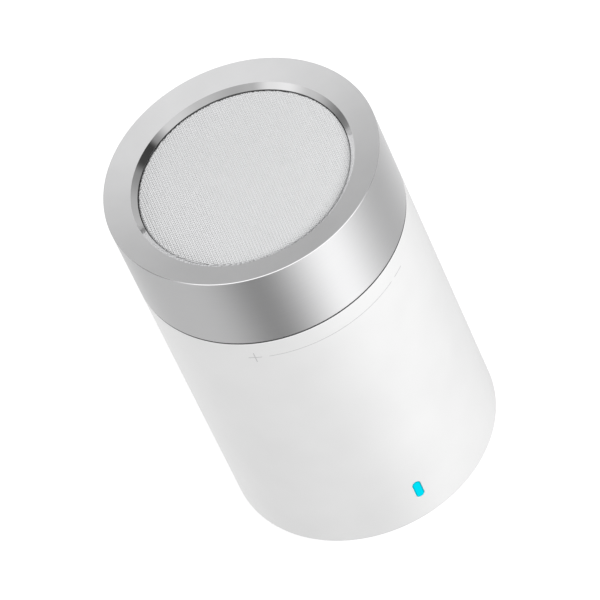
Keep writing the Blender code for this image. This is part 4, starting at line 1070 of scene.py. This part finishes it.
# (azimuth, level) of the panels round the belt above it
BELT = (
    (120.0, 0.3), (134.0, 0.2), (163.0, 0.62), (184.0, 0.95), (198.0, 0.88), (215.0, 0.5), (230.0, 0.46),
    (268.0, 0.58), (296.0, 0.72), (307.0, 0.72), (323.0, 0.32), (330.0, 0.05), (346.0, 0.06), (356.0, 0.3),
    (380.0, 0.48), (400.0, 0.55), (480.0, 0.3),
)
HIGH_AZIMUTH = 82.0             # the dished top face mirrors the tent on this side
HIGH_DARK = 0.55
HIGH_BRIGHT = 0.98
TOP_CARD = 1.3


def flat_emission(name, colour, strength):
    material = bpy.data.materials.new(name)
    material.use_nodes = True
    tree = material.node_tree
    tree.nodes.clear()
    output = tree.nodes.new("ShaderNodeOutputMaterial")
    light = tree.nodes.new("ShaderNodeEmission")
    light.inputs["Color"].default_value = (*colour, 1.0)
    light.inputs["Strength"].default_value = strength
    tree.links.new(light.outputs[0], output.inputs["Surface"])
    material.cycles.emission_sampling = "NONE"
    return material


def make_floor():
    """Pale floor, lit so evenly that it stays white."""
    material = bpy.data.materials.new("floor")
    material.use_nodes = True
    shader = material.node_tree.nodes["Principled BSDF"]
    shader.inputs["Base Color"].default_value = (0.3, 0.3, 0.3, 1.0)
    shader.inputs["Roughness"].default_value = 0.9
    shader.inputs["Specular IOR Level"].default_value = 0.0
    shader.inputs["Emission Color"].default_value = (1.0, 1.0, 1.0, 1.0)
    shader.inputs["Emission Strength"].default_value = FLOOR_GLOW
    material.cycles.emission_sampling = "NONE"
    mesh = bpy.data.meshes.new("floor")
    size, low = FLOOR_SIZE, FLOOR_LEVEL
    corners = [(-size, -size, low), (size, -size, low), (size, size, low), (-size, size, low)]
    mesh.from_pydata(corners, [], [(0, 1, 2, 3)])
    mesh.materials.append(material)
    plane = link_new("floor", mesh)
    plane.visible_glossy = False
    plane.visible_diffuse = False


def bell(x, middle, width):
    """Smooth bump of height 1, wrapped at 360 degrees."""
    away = (x - middle + 180.0) % 360.0 - 180.0
    return exp(-((away / width) ** 2))


def smooth_step(x, low, high):
    t = min(1.0, max(0.0, (x - low) / (high - low)))        # low may lie above high: the step then falls
    return t * t * (3 - 2 * t)


def between(table, x):
    """Value at x of a line through the table's points, eased at each one."""
    for (x0, y0), (x1, y1) in zip(table, table[1:]):
        if x0 <= x <= x1:
            return y0 + (y1 - y0) * smooth_step(x, x0, x1)
    return table[0][1]


def tent_level(azimuth, elevation):
    """How bright the light tent is in one direction, in degrees."""
    low = LOW_LEVEL
    for middle, width, level in LOW_PANELS:
        low += level * bell(azimuth, middle, width)
    belt = between(BELT, (azimuth - BELT[0][0]) % 360.0 + BELT[0][0])
    back = HIGH_DARK + (HIGH_BRIGHT - HIGH_DARK) * smooth_step(elevation, 28.0, 62.0)
    belt += (TOP_CARD - belt) * smooth_step(elevation, 52.0, 64.0)
    to_back = smooth_step(abs((azimuth - HIGH_AZIMUTH + 180.0) % 360.0 - 180.0), 62.0, 46.0)
    to_back *= smooth_step(elevation, 10.0, 18.0)
    upper = belt + (back - belt) * to_back
    return max(0.01, low + (upper - low) * smooth_step(elevation, -22.0, -12.0))


def make_tent():
    """Dome of soft panels round the object, seen only in reflections."""
    mesh = bpy.data.meshes.new("light_tent")
    shape = bmesh.new()
    bmesh.ops.create_uvsphere(shape, u_segments=180, v_segments=90, radius=TENT_RADIUS)
    bmesh.ops.reverse_faces(shape, faces=shape.faces)
    shape.to_mesh(mesh)
    shape.free()
    levels = mesh.attributes.new("level", "FLOAT", "POINT")
    for vertex, item in zip(mesh.vertices, levels.data):
        x, y, z = vertex.co
        item.value = tent_level(degrees(atan2(y, x)), degrees(atan2(z, hypot(x, y))))
    material = flat_emission("light_tent", (1.0, 1.0, 1.0), 1.0)
    tree = material.node_tree
    source = tree.nodes.new("ShaderNodeAttribute")
    source.attribute_name = "level"
    light = next(node for node in tree.nodes if node.type == "EMISSION")
    tree.links.new(source.outputs["Fac"], light.inputs["Strength"])
    mesh.materials.append(material)
    tent = link_new("light_tent", mesh)
    tent.location.z = TENT_HEIGHT
    for kind in ("camera", "diffuse", "transmission", "volume_scatter", "shadow"):
        setattr(tent, f"visible_{kind}", False)


def area_light(name, azimuth, elevation, distance, size, power):
    """Square lamp aimed at the object; the tent stands in for it in reflections."""
    data = bpy.data.lights.new(name, "AREA")
    data.energy = power
    data.size = size
    light = bpy.data.objects.new(name, data)
    bpy.context.scene.collection.objects.link(light)
    a, e = radians(azimuth), radians(elevation)
    place = Vector((cos(e) * cos(a), cos(e) * sin(a), sin(e))) * distance
    light.location = place + Vector((0, 0, 0.05))
    light.rotation_euler = place.to_track_quat("Z", "Y").to_euler()
    light.visible_glossy = False
    light.visible_camera = False


def make_world():
    world = bpy.data.worlds.new("studio")
    world.use_nodes = True
    background = world.node_tree.nodes["Background"]
    background.inputs["Color"].default_value = (1.0, 1.0, 1.0, 1.0)
    background.inputs["Strength"].default_value = WORLD_LEVEL
    world.cycles_visibility.glossy = False
    bpy.context.scene.world = world


def make_stage():
    bpy.context.scene.view_settings.view_transform = "Standard"
    make_world()
    make_floor()
    make_tent()
    area_light("key", -60.0, 33.0, 1.2, 0.6, 12.5)
    area_light("fill", 170.0, 6.0, 1.4, 0.9, 14.5)


# ---------------------------------------------------------------- everything

make_camera()
make_stage()
body_shell()
light_lens()
seam_gasket_and_shade()
base_cover()
foot()
volume_marks()
volume_ring()
rim = grille_rim()
grille_mesh()
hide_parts("grille")
charging_port()
push_button()
dress_nodes()

bpy.context.view_layer.update()
